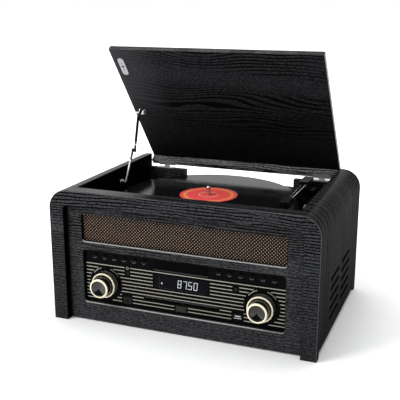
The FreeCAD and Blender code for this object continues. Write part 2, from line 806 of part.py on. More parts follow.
def speakers():
    """A round driver behind the vents on each side."""
    drivers = []
    for view, name, side in (("side", "left", -1), ("far_side", "right", 1)):
        x = f"{side}*{INSIDE}"
        driver = new_body(f"driver_{name}", view, x, "vent_middle", "driver_z", node=False)
        revolve(driver, [
            ("driver_radius - driver_rim", 0), ("driver_radius", 0), ("driver_radius", "driver_flange"),
            ("driver_radius - driver_rim*0.75", "driver_flange*1.4"), ("magnet_radius", "driver_depth*0.6"),
            ("magnet_radius", "driver_depth"), (0, "driver_depth"), (0, "driver_depth*0.4"),
            ("driver_cap", "driver_depth*0.4")])
        drivers.append(driver)
    group("speakers", drivers)


def amplifier():
    """The amplifier and supply board on its posts, with a heat sink and two capacitors."""
    board = new_body("amplifier_board", "top", "amp_x", "amp_y", f"{FLOOR_TOP} + amp_post")
    sketch = draw(board)
    rectangle(sketch, "-amp_width/2", "-amp_depth/2", "amp_width/2", "amp_depth/2")
    pad(board, sketch, "board_thick")
    posts = draw(board)
    for across in (-1, 1):
        for along in (-1, 1):
            circle(posts, f"{across}*(amp_width/2 - amp_corner)", f"{along}*(amp_depth/2 - amp_corner)",
                   "post_radius")
    pad(board, posts, "amp_post", backwards=True)
    sink = draw(board, "board_thick")
    rectangle(sink, "-amp_width/4", "sink_edge - amp_depth/2",
              "amp_width/4", "sink_edge + sink_thick - amp_depth/2")
    pad(board, sink, "sink_height")
    cans = draw(board, "board_thick")
    for across in (-1, 1):
        circle(cans, f"{across}*amp_width/4", "amp_depth/5", "can_radius")
    pad(board, cans, "can_height")


def turntable():
    """The deck with its bush, the platter, mat, record and spindle, and the belt drive under them."""
    deck = new_body("turntable_deck", "top", 0, 0, DECK_UNDER)
    sketch = draw(deck)
    rectangle(sketch, f"-{INSIDE}", f"{FASCIA_BACK} + cleat_gap", INSIDE, f"{REAR_FACE} - fit")
    circle(sketch, "spindle_x", "spindle_y", "bush_radius + fit")
    circle(sketch, "spindle_x + motor_dx", "spindle_y + motor_dy", "pulley_shaft*3")
    for x, y in (("lever_x", "lever_y"), ("switch_x", "switch_y")):
        circle(sketch, x, y, "lever_shaft + running_fit")
    pad(deck, sketch, "deck_thick")

    bush = new_body("platter_bearing", "top", "spindle_x", "spindle_y", DECK_UNDER)
    bore = "(spindle_radius + spindle_fit)"
    flange = "(bush_radius + bush_flange)"
    body = "(bush_radius - bush_step)"
    under = "-bush_flange*0.75"
    top = "(deck_thick + bush_proud)"
    revolve(bush, [
        (bore, "-bush_length"), (body, "-bush_length"), (body, under), (flange, under), (flange, 0),
        ("bush_radius", 0), ("bush_radius", top), (bore, top)])

    spindle = new_body("spindle", "top", "spindle_x", "spindle_y")
    low = f"{DECK_UNDER} - bush_length"
    revolve(spindle, [
        (0, low), ("spindle_radius", low), ("spindle_radius", "spindle_top - spindle_tip"),
        ("spindle_radius*0.75", "spindle_top - spindle_tip*0.28"), ("spindle_radius*0.3", "spindle_top"),
        (0, "spindle_top")])

    platter = new_body("platter", "top", "spindle_x", "spindle_y")
    web = "(platter_top - platter_web)"
    ring = "(drive_ring_radius - drive_ring_wall)"
    rim = "(platter_radius - platter_rim)"
    hub = "spindle_radius*3"
    hub_low = "platter_bottom - hub_drop"
    ring_low = "platter_bottom + ring_lift"
    bevel = "(platter_radius - platter_edge)"
    revolve(platter, [
        (bore, hub_low), (hub, hub_low), (hub, web), (ring, web), (ring, ring_low),
        ("drive_ring_radius", ring_low), ("drive_ring_radius", web), (rim, web), (rim, "platter_bottom"),
        (bevel, "platter_bottom"), ("platter_radius", "platter_bottom + platter_edge"),
        ("platter_radius", "platter_top - platter_edge"), (bevel, "platter_top"), (bore, "platter_top")])

    mat = new_body("slip_mat", "top", "spindle_x", "spindle_y", "platter_top")
    mat_radius = "(platter_radius - mat_inset)"
    revolve(mat, [
        ("record_hole", 0), (mat_radius, 0), (mat_radius, "mat_thick"), ("record_hole", "mat_thick")])

    record = new_body("record", "top", "spindle_x", "spindle_y", RECORD_UNDER)
    bevel = "(record_radius - record_bevel)"
    grooves = "(record_thick - label_rise)"
    revolve(record, [
        ("record_hole", 0), (bevel, 0), ("record_radius", "record_thick*0.3"),
        ("record_radius", "record_thick*0.7"), (bevel, "record_thick"),
        ("record_radius - record_rim", grooves), ("label_radius + label_step", grooves),
        ("label_radius", "record_thick"), ("record_hole", "record_thick")])

    motor_x = "spindle_x + motor_dx"
    motor_y = "spindle_y + motor_dy"
    motor = new_body("drive_motor", "top", motor_x, motor_y, f"{DECK_UNDER} - motor_length - fit")
    hole = "(pulley_shaft + running_fit)"
    revolve(motor, [
        (0, 0), ("motor_radius - motor_edge", 0), ("motor_radius", "motor_edge"),
        ("motor_radius", "motor_length"), (hole, "motor_length"), (hole, "motor_length/2"),
        (0, "motor_length/2")])

    pulley = new_body("motor_pulley", "top", motor_x, motor_y)
    shaft_low = f"({DECK_UNDER} - motor_length/2)"
    belt_low = f"({web} - belt_height - belt_clear)"
    flange = "(pulley_radius + pulley_flange)"
    flange_low = f"({belt_low} - 2*pulley_flange)"
    flange_top = f"({belt_low} - pulley_flange)"
    top = f"({web} - pulley_flange)"
    revolve(pulley, [
        (0, shaft_low), ("pulley_shaft", shaft_low), ("pulley_shaft", flange_low), (flange, flange_low),
        (flange, flange_top), ("pulley_radius", f"{flange_top} + pulley_flange/2"), ("pulley_radius", top),
        (0, top)])
    drive_belt(motor_x, motor_y, belt_low)


def belt_outline(reach, big, small):
    """The wire round a large circle at the origin and a small one at reach along X."""
    lean = math.acos((big - small) / reach)
    touch = [FreeCAD.Vector(big * math.cos(lean), big * math.sin(lean), 0),
             FreeCAD.Vector(reach + small * math.cos(lean), small * math.sin(lean), 0)]
    mirror = [FreeCAD.Vector(point.x, -point.y, 0) for point in touch]
    far = Part.Arc(touch[0], FreeCAD.Vector(-big, 0, 0), mirror[0])
    near_end = Part.Arc(mirror[1], FreeCAD.Vector(reach + small, 0, 0), touch[1])
    runs = [far, Part.LineSegment(mirror[0], mirror[1]), near_end, Part.LineSegment(touch[1], touch[0])]
    return Part.Wire([run.toShape() for run in runs])


def drive_belt(motor_x, motor_y, low):
    """A flat belt round the platter's drive ring and the motor's pulley."""
    dx, dy = number("motor_dx"), number("motor_dy")
    reach = math.hypot(dx, dy)
    inner_gap = number("belt_gap")
    outer_gap = inner_gap + number("belt_thick")
    big, small = number("drive_ring_radius"), number("pulley_radius")
    outer = belt_outline(reach, big + outer_gap, small + outer_gap)
    inner = belt_outline(reach, big + inner_gap, small + inner_gap)
    rise = FreeCAD.Vector(0, 0, number("belt_height"))
    shape = Part.Face(outer).extrude(rise).cut(Part.Face(inner).extrude(rise))
    belt = doc.addObject("Part::Feature", "drive_belt")
    belt.Label = "drive_belt"
    belt.Shape = shape
    turn = FreeCAD.Rotation(FreeCAD.Vector(0, 0, 1), math.degrees(math.atan2(dy, dx)))
    belt.Placement = FreeCAD.Placement(FreeCAD.Vector(), turn)
    place(belt, "spindle_x", "spindle_y", low)
    nodes.append(belt)


def skew(along, across):
    """A point on the headshell's own axis, which leans towards the spindle."""
    x = f"-({along})*sin(shell_angle) + ({across})*cos(shell_angle)"
    y = f"-({along})*cos(shell_angle) - ({across})*sin(shell_angle)"
    return x, y


def tonearm():
    """The pedestal, the yoke that swings on it, the arm that tilts in the yoke, and the rest."""
    pedestal = new_body("tonearm_base", "top", "arm_x", "arm_y", "deck_top")
    sketch = draw(pedestal)
    rectangle(sketch, "-pedestal_width/2", "-pedestal_depth/2", "pedestal_width/2", "pedestal_depth/2")
    pad(pedestal, sketch, "pedestal_height")
    round_edges(pedestal, "pedestal_corner", runs_along_z)
    post = draw(pedestal, "pedestal_height")
    circle(post, 0, 0, "pivot_radius")
    pad(pedestal, post, "yoke_gap + yoke_floor - pivot_drop")

    base = "(deck_top + pedestal_height + yoke_gap)"
    seat = f"({base} + yoke_floor)"
    yoke = new_body("tonearm_yoke", "front", "arm_x", "arm_y + yoke_behind")
    sketch = draw(yoke)
    half = "yoke_width/2"
    slot = "yoke_slot/2"
    rectangle(sketch, f"-{half}", base, half, "yoke_top")
    rectangle(sketch, f"-{slot}", seat, slot, "arm_z + arm_rear_height/2 + yoke_clear")
    pad(yoke, sketch, "yoke_behind + yoke_ahead")
    round_edges(yoke, "yoke_corner", lambda b: near(b.XLength, 0) and near(b.ZLength, 0)
                and near(abs(b.XMin), half))
    bore = draw(yoke, f"-{base}", "XZ_Plane")
    circle(bore, 0, "yoke_behind", "pivot_radius + running_fit")
    pocket(yoke, bore, "yoke_floor")
    cross = draw(yoke, 0, "YZ_Plane")
    circle(cross, "arm_z", "yoke_behind", "trunnion_radius + running_fit")
    pocket(yoke, cross, "yoke_width*2", symmetric=True)

    arm = new_body("tonearm_tube", "front", "arm_x", "arm_y", "arm_z")
    section = draw(arm, "-arm_tail")
    rectangle(section, "-arm_rear_width/2", "-arm_rear_height/2", "arm_rear_width/2", "arm_rear_height/2")
    bar = pad(arm, section, "arm_tail + arm_reach")
    bind(bar, "TaperAngle", "-atan((arm_rear_width - arm_front_width)/2/(arm_tail + arm_reach))")
    round_edges(arm, "arm_edge", lambda b: b.ZLength > number("arm_reach"))
    trunnion = draw(arm, 0, "YZ_Plane")
    circle(trunnion, 0, 0, "trunnion_radius")
    pad(arm, trunnion, "yoke_width - 2*trunnion_inset", symmetric=True)

    tip_y = "arm_y - arm_reach"
    under = "(arm_z - shell_thick/2)"
    shell = new_body("headshell", "top", "arm_x", tip_y, under)
    sketch = draw(shell)
    half = "shell_width/2"
    lift = f"{half} + lift_reach"
    polygon(sketch, [
        ("-arm_front_width/2", 0), ("arm_front_width/2", 0), skew("shell_neck", half),
        skew("shell_length - lift_back", half), skew("shell_length - lift_back + lift_slope", lift),
        skew("shell_length - lift_front", lift), skew("shell_length - shell_corner", half),
        skew("shell_length", f"{half} - shell_corner"), skew("shell_length", f"shell_corner - {half}"),
        skew("shell_length - shell_corner", f"-{half}"), skew("shell_neck", f"-{half}")])
    pad(shell, sketch, "shell_thick")

    tip = f"({RECORD_TOP} + stylus_gap)"
    cartridge = new_body("cartridge", "top", "arm_x", tip_y, f"{tip} + stylus_length")
    sketch = draw(cartridge)
    half = "cartridge_width/2"
    end = "(shell_length - cartridge_end)"
    polygon(sketch, [skew("cartridge_start", f"-{half}"), skew("cartridge_start", half), skew(end, half),
                     skew(end, f"-{half}")])
    pad(cartridge, sketch, f"{under} - {tip} - stylus_length")
    needle = draw(cartridge)
    circle(needle, *skew(f"{end} - stylus_back", 0), "stylus_radius")
    pad(cartridge, needle, "stylus_length", backwards=True)

    share = "((arm_y - rest_y - rest_depth/2 + arm_tail)/(arm_reach + arm_tail))"
    taper = f"((arm_rear_width - arm_front_width)/2*{share})"
    arm_half = f"(arm_rear_width/2 - {taper})"
    ledge = f"(arm_z - arm_rear_height/2 + {taper} - rest_gap)"
    rest = new_body("arm_rest", "front", "arm_x", "rest_y + rest_depth/2")
    sketch = draw(rest)
    wall = f"({arm_half} + rest_gap)"
    outer = f"({wall} + rest_wall)"
    lip = "(arm_z + rest_lip)"
    polygon(sketch, [
        (f"-{arm_half}", "deck_top"), (outer, "deck_top"), (outer, lip), (wall, lip), (wall, ledge),
        (f"-{arm_half}", ledge)])
    pad(rest, sketch, "rest_depth")


def deck_lever(label, x, y, length):
    """A lever on a shaft through the deck."""
    lever = new_body(label, "top", x, y, "deck_top + lever_gap")
    hub = draw(lever)
    circle(hub, 0, 0, "lever_hub")
    pad(lever, hub, "lever_hub_height")
    shaft = draw(lever)
    circle(shaft, 0, 0, "lever_shaft")
    pad(lever, shaft, "lever_gap + deck_thick + lever_tail", backwards=True)
    handle = draw(lever, "handle_lift")
    polygon(handle, [
        ("-lever_hub*0.7", 0), ("-lever_hub*0.45", f"-{length}"), ("lever_hub*0.45", f"-{length}"),
        ("lever_hub*0.7", 0)])
    pad(lever, handle, "handle_thick")


def lid():
    """The lid board with its batten, the strike plate under it and the catch on the well's side."""
    panel = lid_body("lid_panel")
    sketch = draw(panel, LID_UNDER)
    rectangle(sketch, f"-{LID_SIDE}", LID_FRONT, LID_SIDE, LID_REAR)
    pad(panel, sketch, "lid_thick")
    round_edges(panel, "edge_radius", lambda b: near(b.ZMin, LID_TOP))

    batten = lid_body("lid_batten")
    foot = "(leaf_gap + leaf_thick + fit)"
    sketch = draw(batten, foot)
    front = f"(depth/2 - batten_front - {HINGE_Y})"
    rectangle(sketch, f"-{LID_SIDE}", front, LID_SIDE, f"{front} + batten_thick")
    pad(batten, sketch, f"{LID_UNDER} - {foot}")

    strike = lid_body("lid_plate", "front")
    plate = draw(strike, f"-{LID_UNDER}", "XZ_Plane")
    x = f"plate_side - {LID_SIDE}"
    middle = f"-({LID_FRONT} + plate_front)"
    reach = "(plate_length - plate_width)/2"
    slot(plate, (x, f"{middle} - {reach}"), (x, f"{middle} + {reach}"), "plate_width/2")
    pad(strike, plate, "plate_thick")

    closed_y = f"({HINGE_Y} + {LID_FRONT} + plate_front)"
    catch = new_body("lid_catch", "side", f"-{WELL_SIDE}", closed_y,
                     "height - lid_thick - plate_thick - catch_gap")
    sketch = draw(catch)
    polygon(sketch, [
        ("-catch_length/2", 0), ("-catch_length/2", "-catch_height"), ("catch_length/2", "-catch_height"),
        ("catch_length/2", 0)])
    pad(catch, sketch, "catch_reach")
    round_edges(catch, "catch_round", lambda b: near(b.ZMin, "catch_reach") and near(b.XLength, 0))


def knuckles(name, side, on_lid):
    """One leaf of a butt hinge: the outer knuckles are the cabinet's, the middle one is the lid's."""
    body = lid_body(name) if on_lid else new_body(name, "top", 0, HINGE_Y, HINGE_Z)
    nodes.remove(body)
    middle = f"({side}*hinge_x)"
    third = "(hinge_length/6)"
    left, right = f"({middle} - hinge_length/2)", f"({middle} + hinge_length/2)"
    first, second = f"({middle} - {third})", f"({middle} + {third})"
    inner_left, inner_right = f"({first} + knuckle_gap)", f"({second} - knuckle_gap)"
    clear = "(knuckle_radius + knuckle_gap)"
    leaf = draw(body, "leaf_gap" if on_lid else "-leaf_gap - leaf_thick")
    back = "-leaf_depth"
    if on_lid:
        polygon(leaf, [
            (left, back), (right, back), (right, f"-{clear}"), (inner_right, f"-{clear}"),
            (inner_right, 0), (inner_left, 0), (inner_left, f"-{clear}"), (left, f"-{clear}")])
        spans = [(inner_left, inner_right)]
    else:
        polygon(leaf, [
            (left, back), (right, back), (right, 0), (second, 0), (second, f"-{clear}"),
            (first, f"-{clear}"), (first, 0), (left, 0)])
        spans = [(left, first), (second, right)]
    pad(body, leaf, "leaf_thick")
    for start, end in spans:
        barrel = draw(body, start, "YZ_Plane")
        circle(barrel, 0, 0, "knuckle_radius")
        pad(body, barrel, f"{end} - {start}")
    bore = draw(body, left, "YZ_Plane")
    circle(bore, 0, 0, "hinge_pin + running_fit")
    pocket(body, bore, "hinge_length", backwards=True)
    return body


def hinges():
    """Two butt hinges between the back's stubs and the batten."""
    for on_lid, label in ((False, "hinge_leaves_fixed"), (True, "hinge_leaves_lid")):
        names = (("left", -1), ("right", 1))
        group(label, [knuckles(f"{label}_{name}", side, on_lid) for name, side in names])
    pins = []
    for name, side in (("left", -1), ("right", 1)):
        start = f"{side}*hinge_x - hinge_length/2"
        pin = new_body(f"hinge_pin_{name}", "side", start, HINGE_Y, HINGE_Z, node=False)
        sketch = draw(pin)
        circle(sketch, 0, 0, "hinge_pin")
        pad(pin, sketch, "hinge_length")
        pins.append(pin)
    group("hinge_pins", pins)


def stay_arm(label, x, pivot, elbow, length, rivet):
    """One bar of the folding stay, from its pivot's eye to the elbow's."""
    arm = new_body(label, "side", x)
    lean = math.degrees(math.atan2(elbow[1] - pivot[1], elbow[0] - pivot[0]))
    arm.Placement.Rotation = FreeCAD.Rotation(FreeCAD.Vector(1, 0, 0), lean).multiply(VIEWS["side"])
    place(arm, x, pivot[0], pivot[1])
    bar = draw(arm)
    slot(bar, (0, 0), (length, 0), "stay_bar")
    pad(arm, bar, "stay_thick")
    eyes = draw(arm)
    circle(eyes, 0, 0, "stay_eye")
    circle(eyes, length, 0, "stay_eye")
    pad(arm, eyes, "stay_thick")
    if rivet:
        stud = draw(arm, "stay_thick")
        circle(stud, length, 0, "stay_pin")
        pad(arm, stud, "stay_layer_gap - rivet_gap")
    hole = draw(arm, "stay_thick")
    circle(hole, 0, 0, "stay_pin + running_fit")
    pocket(arm, hole, "stay_thick")


def folding_stay():
    """The jack-knife stay on the left: brackets on the well's side and the lid, and two bars."""
    foot = (number("stay_foot_y"), number("stay_foot_z"))
    head = (number("stay_head_y"), number("stay_head_z"))
    span, lower, upper = (number(f"stay_{name}") for name in ("span", "lower", "upper"))
    along = (lower**2 - upper**2 + span**2) / (2 * span)
    out = math.sqrt(lower**2 - along**2)
    unit = ((head[0] - foot[0]) / span, (head[1] - foot[1]) / span)
    elbow = (foot[0] + along * unit[0] + out * unit[1], foot[1] + along * unit[1] - out * unit[0])
    lower_x = f"(stay_stand_off - {WELL_SIDE})"
    upper_x = f"({lower_x} + stay_thick + stay_layer_gap)"
    stay_arm("stay_lower_arm", lower_x, foot, elbow, "stay_lower", True)
    stay_arm("stay_upper_arm", upper_x, head, elbow, "stay_upper", False)

    bracket = new_body("stay_bracket_lower", "side", f"-{WELL_SIDE}", "stay_foot_y", "stay_foot_z")
    base = draw(bracket)
    rectangle(base, "-stay_eye*4", "-stay_eye*1.6", "stay_eye*1.6", "stay_eye*1.6")
    pad(bracket, base, "stay_plate")
    pin = draw(bracket)
    circle(pin, 0, 0, "stay_pin")
    pad(bracket, pin, "stay_stand_off + stay_thick + fit + stay_head")
    shoulder = draw(bracket)
    circle(shoulder, 0, 0, "stay_eye")
    pad(bracket, shoulder, "stay_stand_off - fit")
    cap = draw(bracket, "stay_stand_off + stay_thick + fit")
    circle(cap, 0, 0, "stay_eye*0.85")
    pad(bracket, cap, "stay_head")

    ear_x = f"({upper_x} + stay_thick + fit)"
    pivot = ("-stay_lid_reach", "stay_head_in")
    ear = lid_body("stay_bracket_upper", "side")
    sketch = draw(ear, ear_x)
    low = f"({pivot[1]} - stay_eye*0.9)"
    polygon(sketch, [
        (f"{pivot[0]} - stay_eye*1.6", LID_UNDER), (f"{pivot[0]} - stay_eye", low),
        (f"{pivot[0]} + stay_eye", low), (f"{pivot[0]} + stay_eye*1.6", LID_UNDER)])
    pad(ear, sketch, "stay_plate")
    flange = draw(ear, ear_x)
    rectangle(flange, f"{pivot[0]} - stay_eye*2", f"{LID_UNDER} - stay_plate",
              f"{pivot[0]} + stay_eye*2", LID_UNDER)
    pad(ear, flange, "stay_eye*4")
    pin = draw(ear, ear_x)
    circle(pin, *pivot, "stay_pin")
    pad(ear, pin, "stay_thick + 2*fit + stay_head", backwards=True)
    cap = draw(ear, f"{upper_x} - fit")
    circle(cap, *pivot, "stay_eye*0.85")
    pad(ear, cap, "stay_head", backwards=True)


cabinet_arch()
boards()
front_panels()
sockets()
controls()
disc_drive()
speakers()
amplifier()
turntable()
tonearm()
deck_lever("cue_lever", "lever_x", "lever_y", "lever_length")
deck_lever("speed_switch", "switch_x", "switch_y", "switch_length")
lid()
hinges()
folding_stay()
doc.recompute()

for item in doc.Objects:
    if "Invalid" in item.State or "Error" in item.State:
        raise RuntimeError(f"{item.Label} failed: {item.State}")
for node in nodes:
    if node.Shape.isNull() or not node.Shape.isValid() or not node.Shape.Solids:
        raise RuntimeError(f"{node.Label} has no valid solid")
for node in nodes:
    node.Shape.exportStep(f"parts/{node.Label}.step")
print(len(nodes), "nodes")
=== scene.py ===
"""Looks of the record player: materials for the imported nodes, thin trim, studio and camera."""
import json
import math

import bmesh
import bpy
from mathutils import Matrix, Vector


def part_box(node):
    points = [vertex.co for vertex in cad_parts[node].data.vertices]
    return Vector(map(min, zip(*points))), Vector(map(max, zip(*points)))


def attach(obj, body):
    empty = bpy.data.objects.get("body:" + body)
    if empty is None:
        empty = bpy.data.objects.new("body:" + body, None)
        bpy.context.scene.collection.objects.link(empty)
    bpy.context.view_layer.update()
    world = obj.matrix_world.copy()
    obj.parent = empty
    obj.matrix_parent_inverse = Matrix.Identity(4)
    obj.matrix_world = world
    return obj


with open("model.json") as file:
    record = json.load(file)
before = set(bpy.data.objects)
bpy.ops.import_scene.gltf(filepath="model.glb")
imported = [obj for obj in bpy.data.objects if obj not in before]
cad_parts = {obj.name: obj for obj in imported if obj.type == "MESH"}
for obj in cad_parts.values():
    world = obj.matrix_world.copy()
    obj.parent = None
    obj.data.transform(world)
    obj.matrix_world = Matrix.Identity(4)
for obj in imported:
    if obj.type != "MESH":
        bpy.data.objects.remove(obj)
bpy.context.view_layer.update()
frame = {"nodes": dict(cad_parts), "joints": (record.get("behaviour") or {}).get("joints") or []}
nodes = frame["nodes"]
# Metres in a millimetre, and centimetres in a metre
MM, CENTIMETRES = 0.001, 100.0
FULL_TURN = 2 * math.pi
OUT, RIGHT, UP = Vector((0, -1, 0)), Vector((1, 0, 0)), Vector((0, 0, 1))
LID_OPEN = math.radians(51)
LID_THROUGH = Vector((0, math.sin(LID_OPEN), math.cos(LID_OPEN)))
LID_ALONG = Vector((0, -math.cos(LID_OPEN), math.sin(LID_OPEN)))


def joint_place(name):
    """Where the record puts a joint."""
    return Vector(next(joint["pos_m"] for joint in frame["joints"] if joint["name"] == name))


# Nodes of a pattern


class Graph:
    """A node tree, with short calls for the nodes that patterns are made of."""

    def __init__(self, tree):
        self.tree = tree

    def feed(self, socket, value):
        """Gives a socket a plain value, or links an output to it."""
        if isinstance(value, bpy.types.NodeSocket):
            self.tree.links.new(value, socket)
        else:
            socket.default_value = value

    def node(self, kind, **settings):
        made = self.tree.nodes.new(kind)
        for name, value in settings.items():
            setattr(made, name, value)
        return made

    def coordinate(self, kind):
        return self.node("ShaderNodeTexCoord").outputs[kind]

    def place(self):
        """The point in the object's own frame, in metres."""
        return self.coordinate("Object")

    def normal(self):
        return self.coordinate("Normal")

    def split(self, vector):
        parts = self.node("ShaderNodeSeparateXYZ")
        self.feed(parts.inputs[0], vector)
        return parts.outputs

    def join(self, x, y, z):
        made = self.node("ShaderNodeCombineXYZ")
        for socket, value in zip(made.inputs, (x, y, z)):
            self.feed(socket, value)
        return made.outputs[0]

    def calc(self, operation, *values):
        made = self.node("ShaderNodeMath", operation=operation)
        for socket, value in zip(made.inputs, values):
            self.feed(socket, value)
        return made.outputs[0]

    def plus(self, first, second):
        return self.calc("ADD", first, second)

    def minus(self, first, second):
        return self.calc("SUBTRACT", first, second)

    def times(self, first, second):
        return self.calc("MULTIPLY", first, second)

    def times_plus(self, value, factor, added):
        return self.calc("MULTIPLY_ADD", value, factor, added)

    def size(self, value):
        """A value without its sign."""
        return self.calc("ABSOLUTE", value)

    def squares(self, first, second):
        """The squares of two values, added up."""
        return self.plus(self.times(first, first), self.times(second, second))

    def length(self, first, second):
        return self.calc("SQRT", self.squares(first, second))

    def vectors(self, operation, first, second, result="Vector"):
        made = self.node("ShaderNodeVectorMath", operation=operation)
        self.feed(made.inputs[0], first)
        self.feed(made.inputs[1], second)
        return made.outputs[result]

    def noise(self, vector, scale=1.0, detail=2.0, roughness=0.5):
        made = self.node("ShaderNodeTexNoise")
        self.feed(made.inputs["Vector"], vector)
        made.inputs["Scale"].default_value = scale
        made.inputs["Detail"].default_value = detail
        made.inputs["Roughness"].default_value = roughness
        return made.outputs[0]

    def drift(self, first, second, rates, layer, detail=2.0):
        """Noise over two values, each at its own rate, in one of many layers."""
        point = self.join(self.times(first, rates[0]), self.times(second, rates[1]), layer)
        return self.noise(point, detail=detail)

    def ramp(self, value, *stops):
        """A colour, or a grey where a stop is one number, from a value through stops of place and tone."""
        made = self.node("ShaderNodeValToRGB")
        self.feed(made.inputs[0], value)
        elements = made.color_ramp.elements
        while len(elements) < len(stops):
            elements.new(0.5)
        for element, (position, tone) in zip(elements, stops):
            element.position = position
            element.color = (*tone, 1.0) if isinstance(tone, tuple) else (tone, tone, tone, 1.0)
        return made.outputs[0]

    def blend(self, share, first, second):
        """One vector or another, by a share."""
        made = self.node("ShaderNodeMix", data_type="VECTOR")
        self.feed(made.inputs[0], share)
        self.feed(made.inputs[4], first)
        self.feed(made.inputs[5], second)
        return made.outputs[1]

    def mix(self, share, first, second, way="MIX"):
        """One colour or another, by a share."""
        made = self.node("ShaderNodeMix", data_type="RGBA", blend_type=way)
        self.feed(made.inputs[0], share)
        for socket, value in ((made.inputs[6], first), (made.inputs[7], second)):
            self.feed(socket, (*value, 1.0) if isinstance(value, tuple) else value)
        return made.outputs[2]

    def shaded(self, colour, grey):
        """A colour darkened by a grey."""
        return self.mix(1.0, colour, grey, "MULTIPLY")


class Shader(Graph):
    """A principled material."""

    def __init__(self, name, colour, roughness, **sockets):
        self.material = bpy.data.materials.new(name)
        self.material.use_nodes = True
        super().__init__(self.material.node_tree)
        self.shader = self.tree.nodes["Principled BSDF"]
        self.set("Base Color", (*colour, 1.0))
        self.set("Roughness", roughness)
        for socket, value in sockets.items():
            self.set(socket.replace("_", " "), value)
        self.material.diffuse_color = (*colour, 1.0)

    def set(self, socket, value):
        """A plain value or a linked output on one of the shader's sockets."""
        self.feed(self.shader.inputs[socket], value)

    def bump(self, height, strength, distance):
        made = self.node("ShaderNodeBump")
        made.inputs["Strength"].default_value = strength
        made.inputs["Distance"].default_value = distance
        self.feed(made.inputs["Height"], height)
        self.set("Normal", made.outputs[0])

    def mottled(self, scale, low, high):
        """Roughness that drifts between two values, as on a handled surface."""
        patches = self.noise(self.place(), scale, detail=4.0, roughness=0.6)
        self.set("Roughness", self.ramp(patches, (0.3, low), (0.7, high)))


# Coordinates that the patterns follow


def along_x(shader):
    """The object's own axes, with the grain along x."""
    return shader.place()


def along_x_up(shader):
    """Across an upright board, up it, and through it."""
    x, y, z = shader.split(shader.place())
    return shader.join(x, z, y)


ARCH_BEND = 31 * MM
NOT_ZERO = 1e-5


def arch_path(shader):
    """Distance along the bent arch, the place from front to back, and the depth under its outer face."""
    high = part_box("cabinet_arch")[1]
    corner_x, corner_z = high.x - ARCH_BEND, high.z - ARCH_BEND
    x, y, z = shader.split(shader.place())
    out = shader.size(x)
    over = shader.calc("MAXIMUM", shader.minus(out, corner_x), 0.0)
    above = shader.calc("MAXIMUM", shader.minus(z, corner_z), 0.0)
    depth = shader.minus(ARCH_BEND, shader.length(over, above))
    angle = shader.calc("ARCTAN2", over, shader.plus(above, NOT_ZERO))
    turn = shader.times(angle, ARCH_BEND)
    drop = shader.calc("MAXIMUM", shader.minus(corner_z, z), 0.0)
    flat = shader.calc("MINIMUM", out, corner_x)
    along = shader.plus(shader.plus(flat, turn), drop)
    return shader.join(shader.times(along, shader.calc("SIGN", x)), y, depth)


def arch_faces(shader):
    """Grain that follows the arch on its skin, and runs across on its front and back faces."""
    facing = shader.size(shader.split(shader.normal())[1])
    share = shader.ramp(facing, (0.55, 0.0), (0.75, 1.0))
    return shader.blend(share, arch_path(shader), along_x_up(shader))


def lid_plane(shader):
    """Across the lid, from its hinge to its free edge, and through its thickness."""
    hinge = joint_place("lid_hinge")
    x, y, z = shader.split(shader.place())
    dy = shader.minus(y, hinge.y)
    dz = shader.minus(z, hinge.z)
    sine, cosine = math.sin(LID_OPEN), math.cos(LID_OPEN)
    reach = shader.minus(shader.times(dz, sine), shader.times(dy, cosine))
    depth = shader.plus(shader.times(dy, sine), shader.times(dz, cosine))
    return shader.join(x, reach, depth)


def lid_plane_turned(shader):
    """As on the lid, for a batten that stands across it."""
    across, reach, depth = shader.split(lid_plane(shader))
    return shader.join(across, depth, reach)


def radius_from(shader, centre):
    """Distance from an upright axis through a point."""
    x, y, _ = shader.split(shader.place())
    return shader.length(shader.minus(x, centre.x), shader.minus(y, centre.y))


# Wood: rates are changes in a metre along the grain, across it and through the board
DARK, LIGHT = (0.01, 0.0103, 0.011), (0.061, 0.0628, 0.0665)
# On the lid, BLACK and COAL are the veneer darkened as painted shade
BLACK, COAL = (0.002, 0.0021, 0.0024), (0.034, 0.0357, 0.0392)
WELL_BLACK = (0.004, 0.004, 0.0041)
BATTEN_DARK, BATTEN_LIGHT = (0.05, 0.05, 0.052), (0.3, 0.305, 0.315)
PANEL_DARK, PANEL_LIGHT = (0.01, 0.009, 0.008), (0.03, 0.027, 0.024)
# Painted light: a highlight on the arch's front edge, a sheen on the lid's left part and a highlight on the
# lid's ends
EDGE_HIGHLIGHT, LID_SHEEN, LID_END_HIGHLIGHT = (0.16, 0.163, 0.17), (0.05, 0.052, 0.056), (0.3, 0.31, 0.33)
SWAY_RATES = (5.0, 16.0, 16.0)
PATCH_RATES = (11.0, 55.0, 55.0)
SPECKLE_RATES = (230.0, 620.0, 620.0)
SEED_SHARES = (1.0, 0.37, 0.61)
LINE_PITCH, LINE_SWAY = 4.6 * MM, 38.0


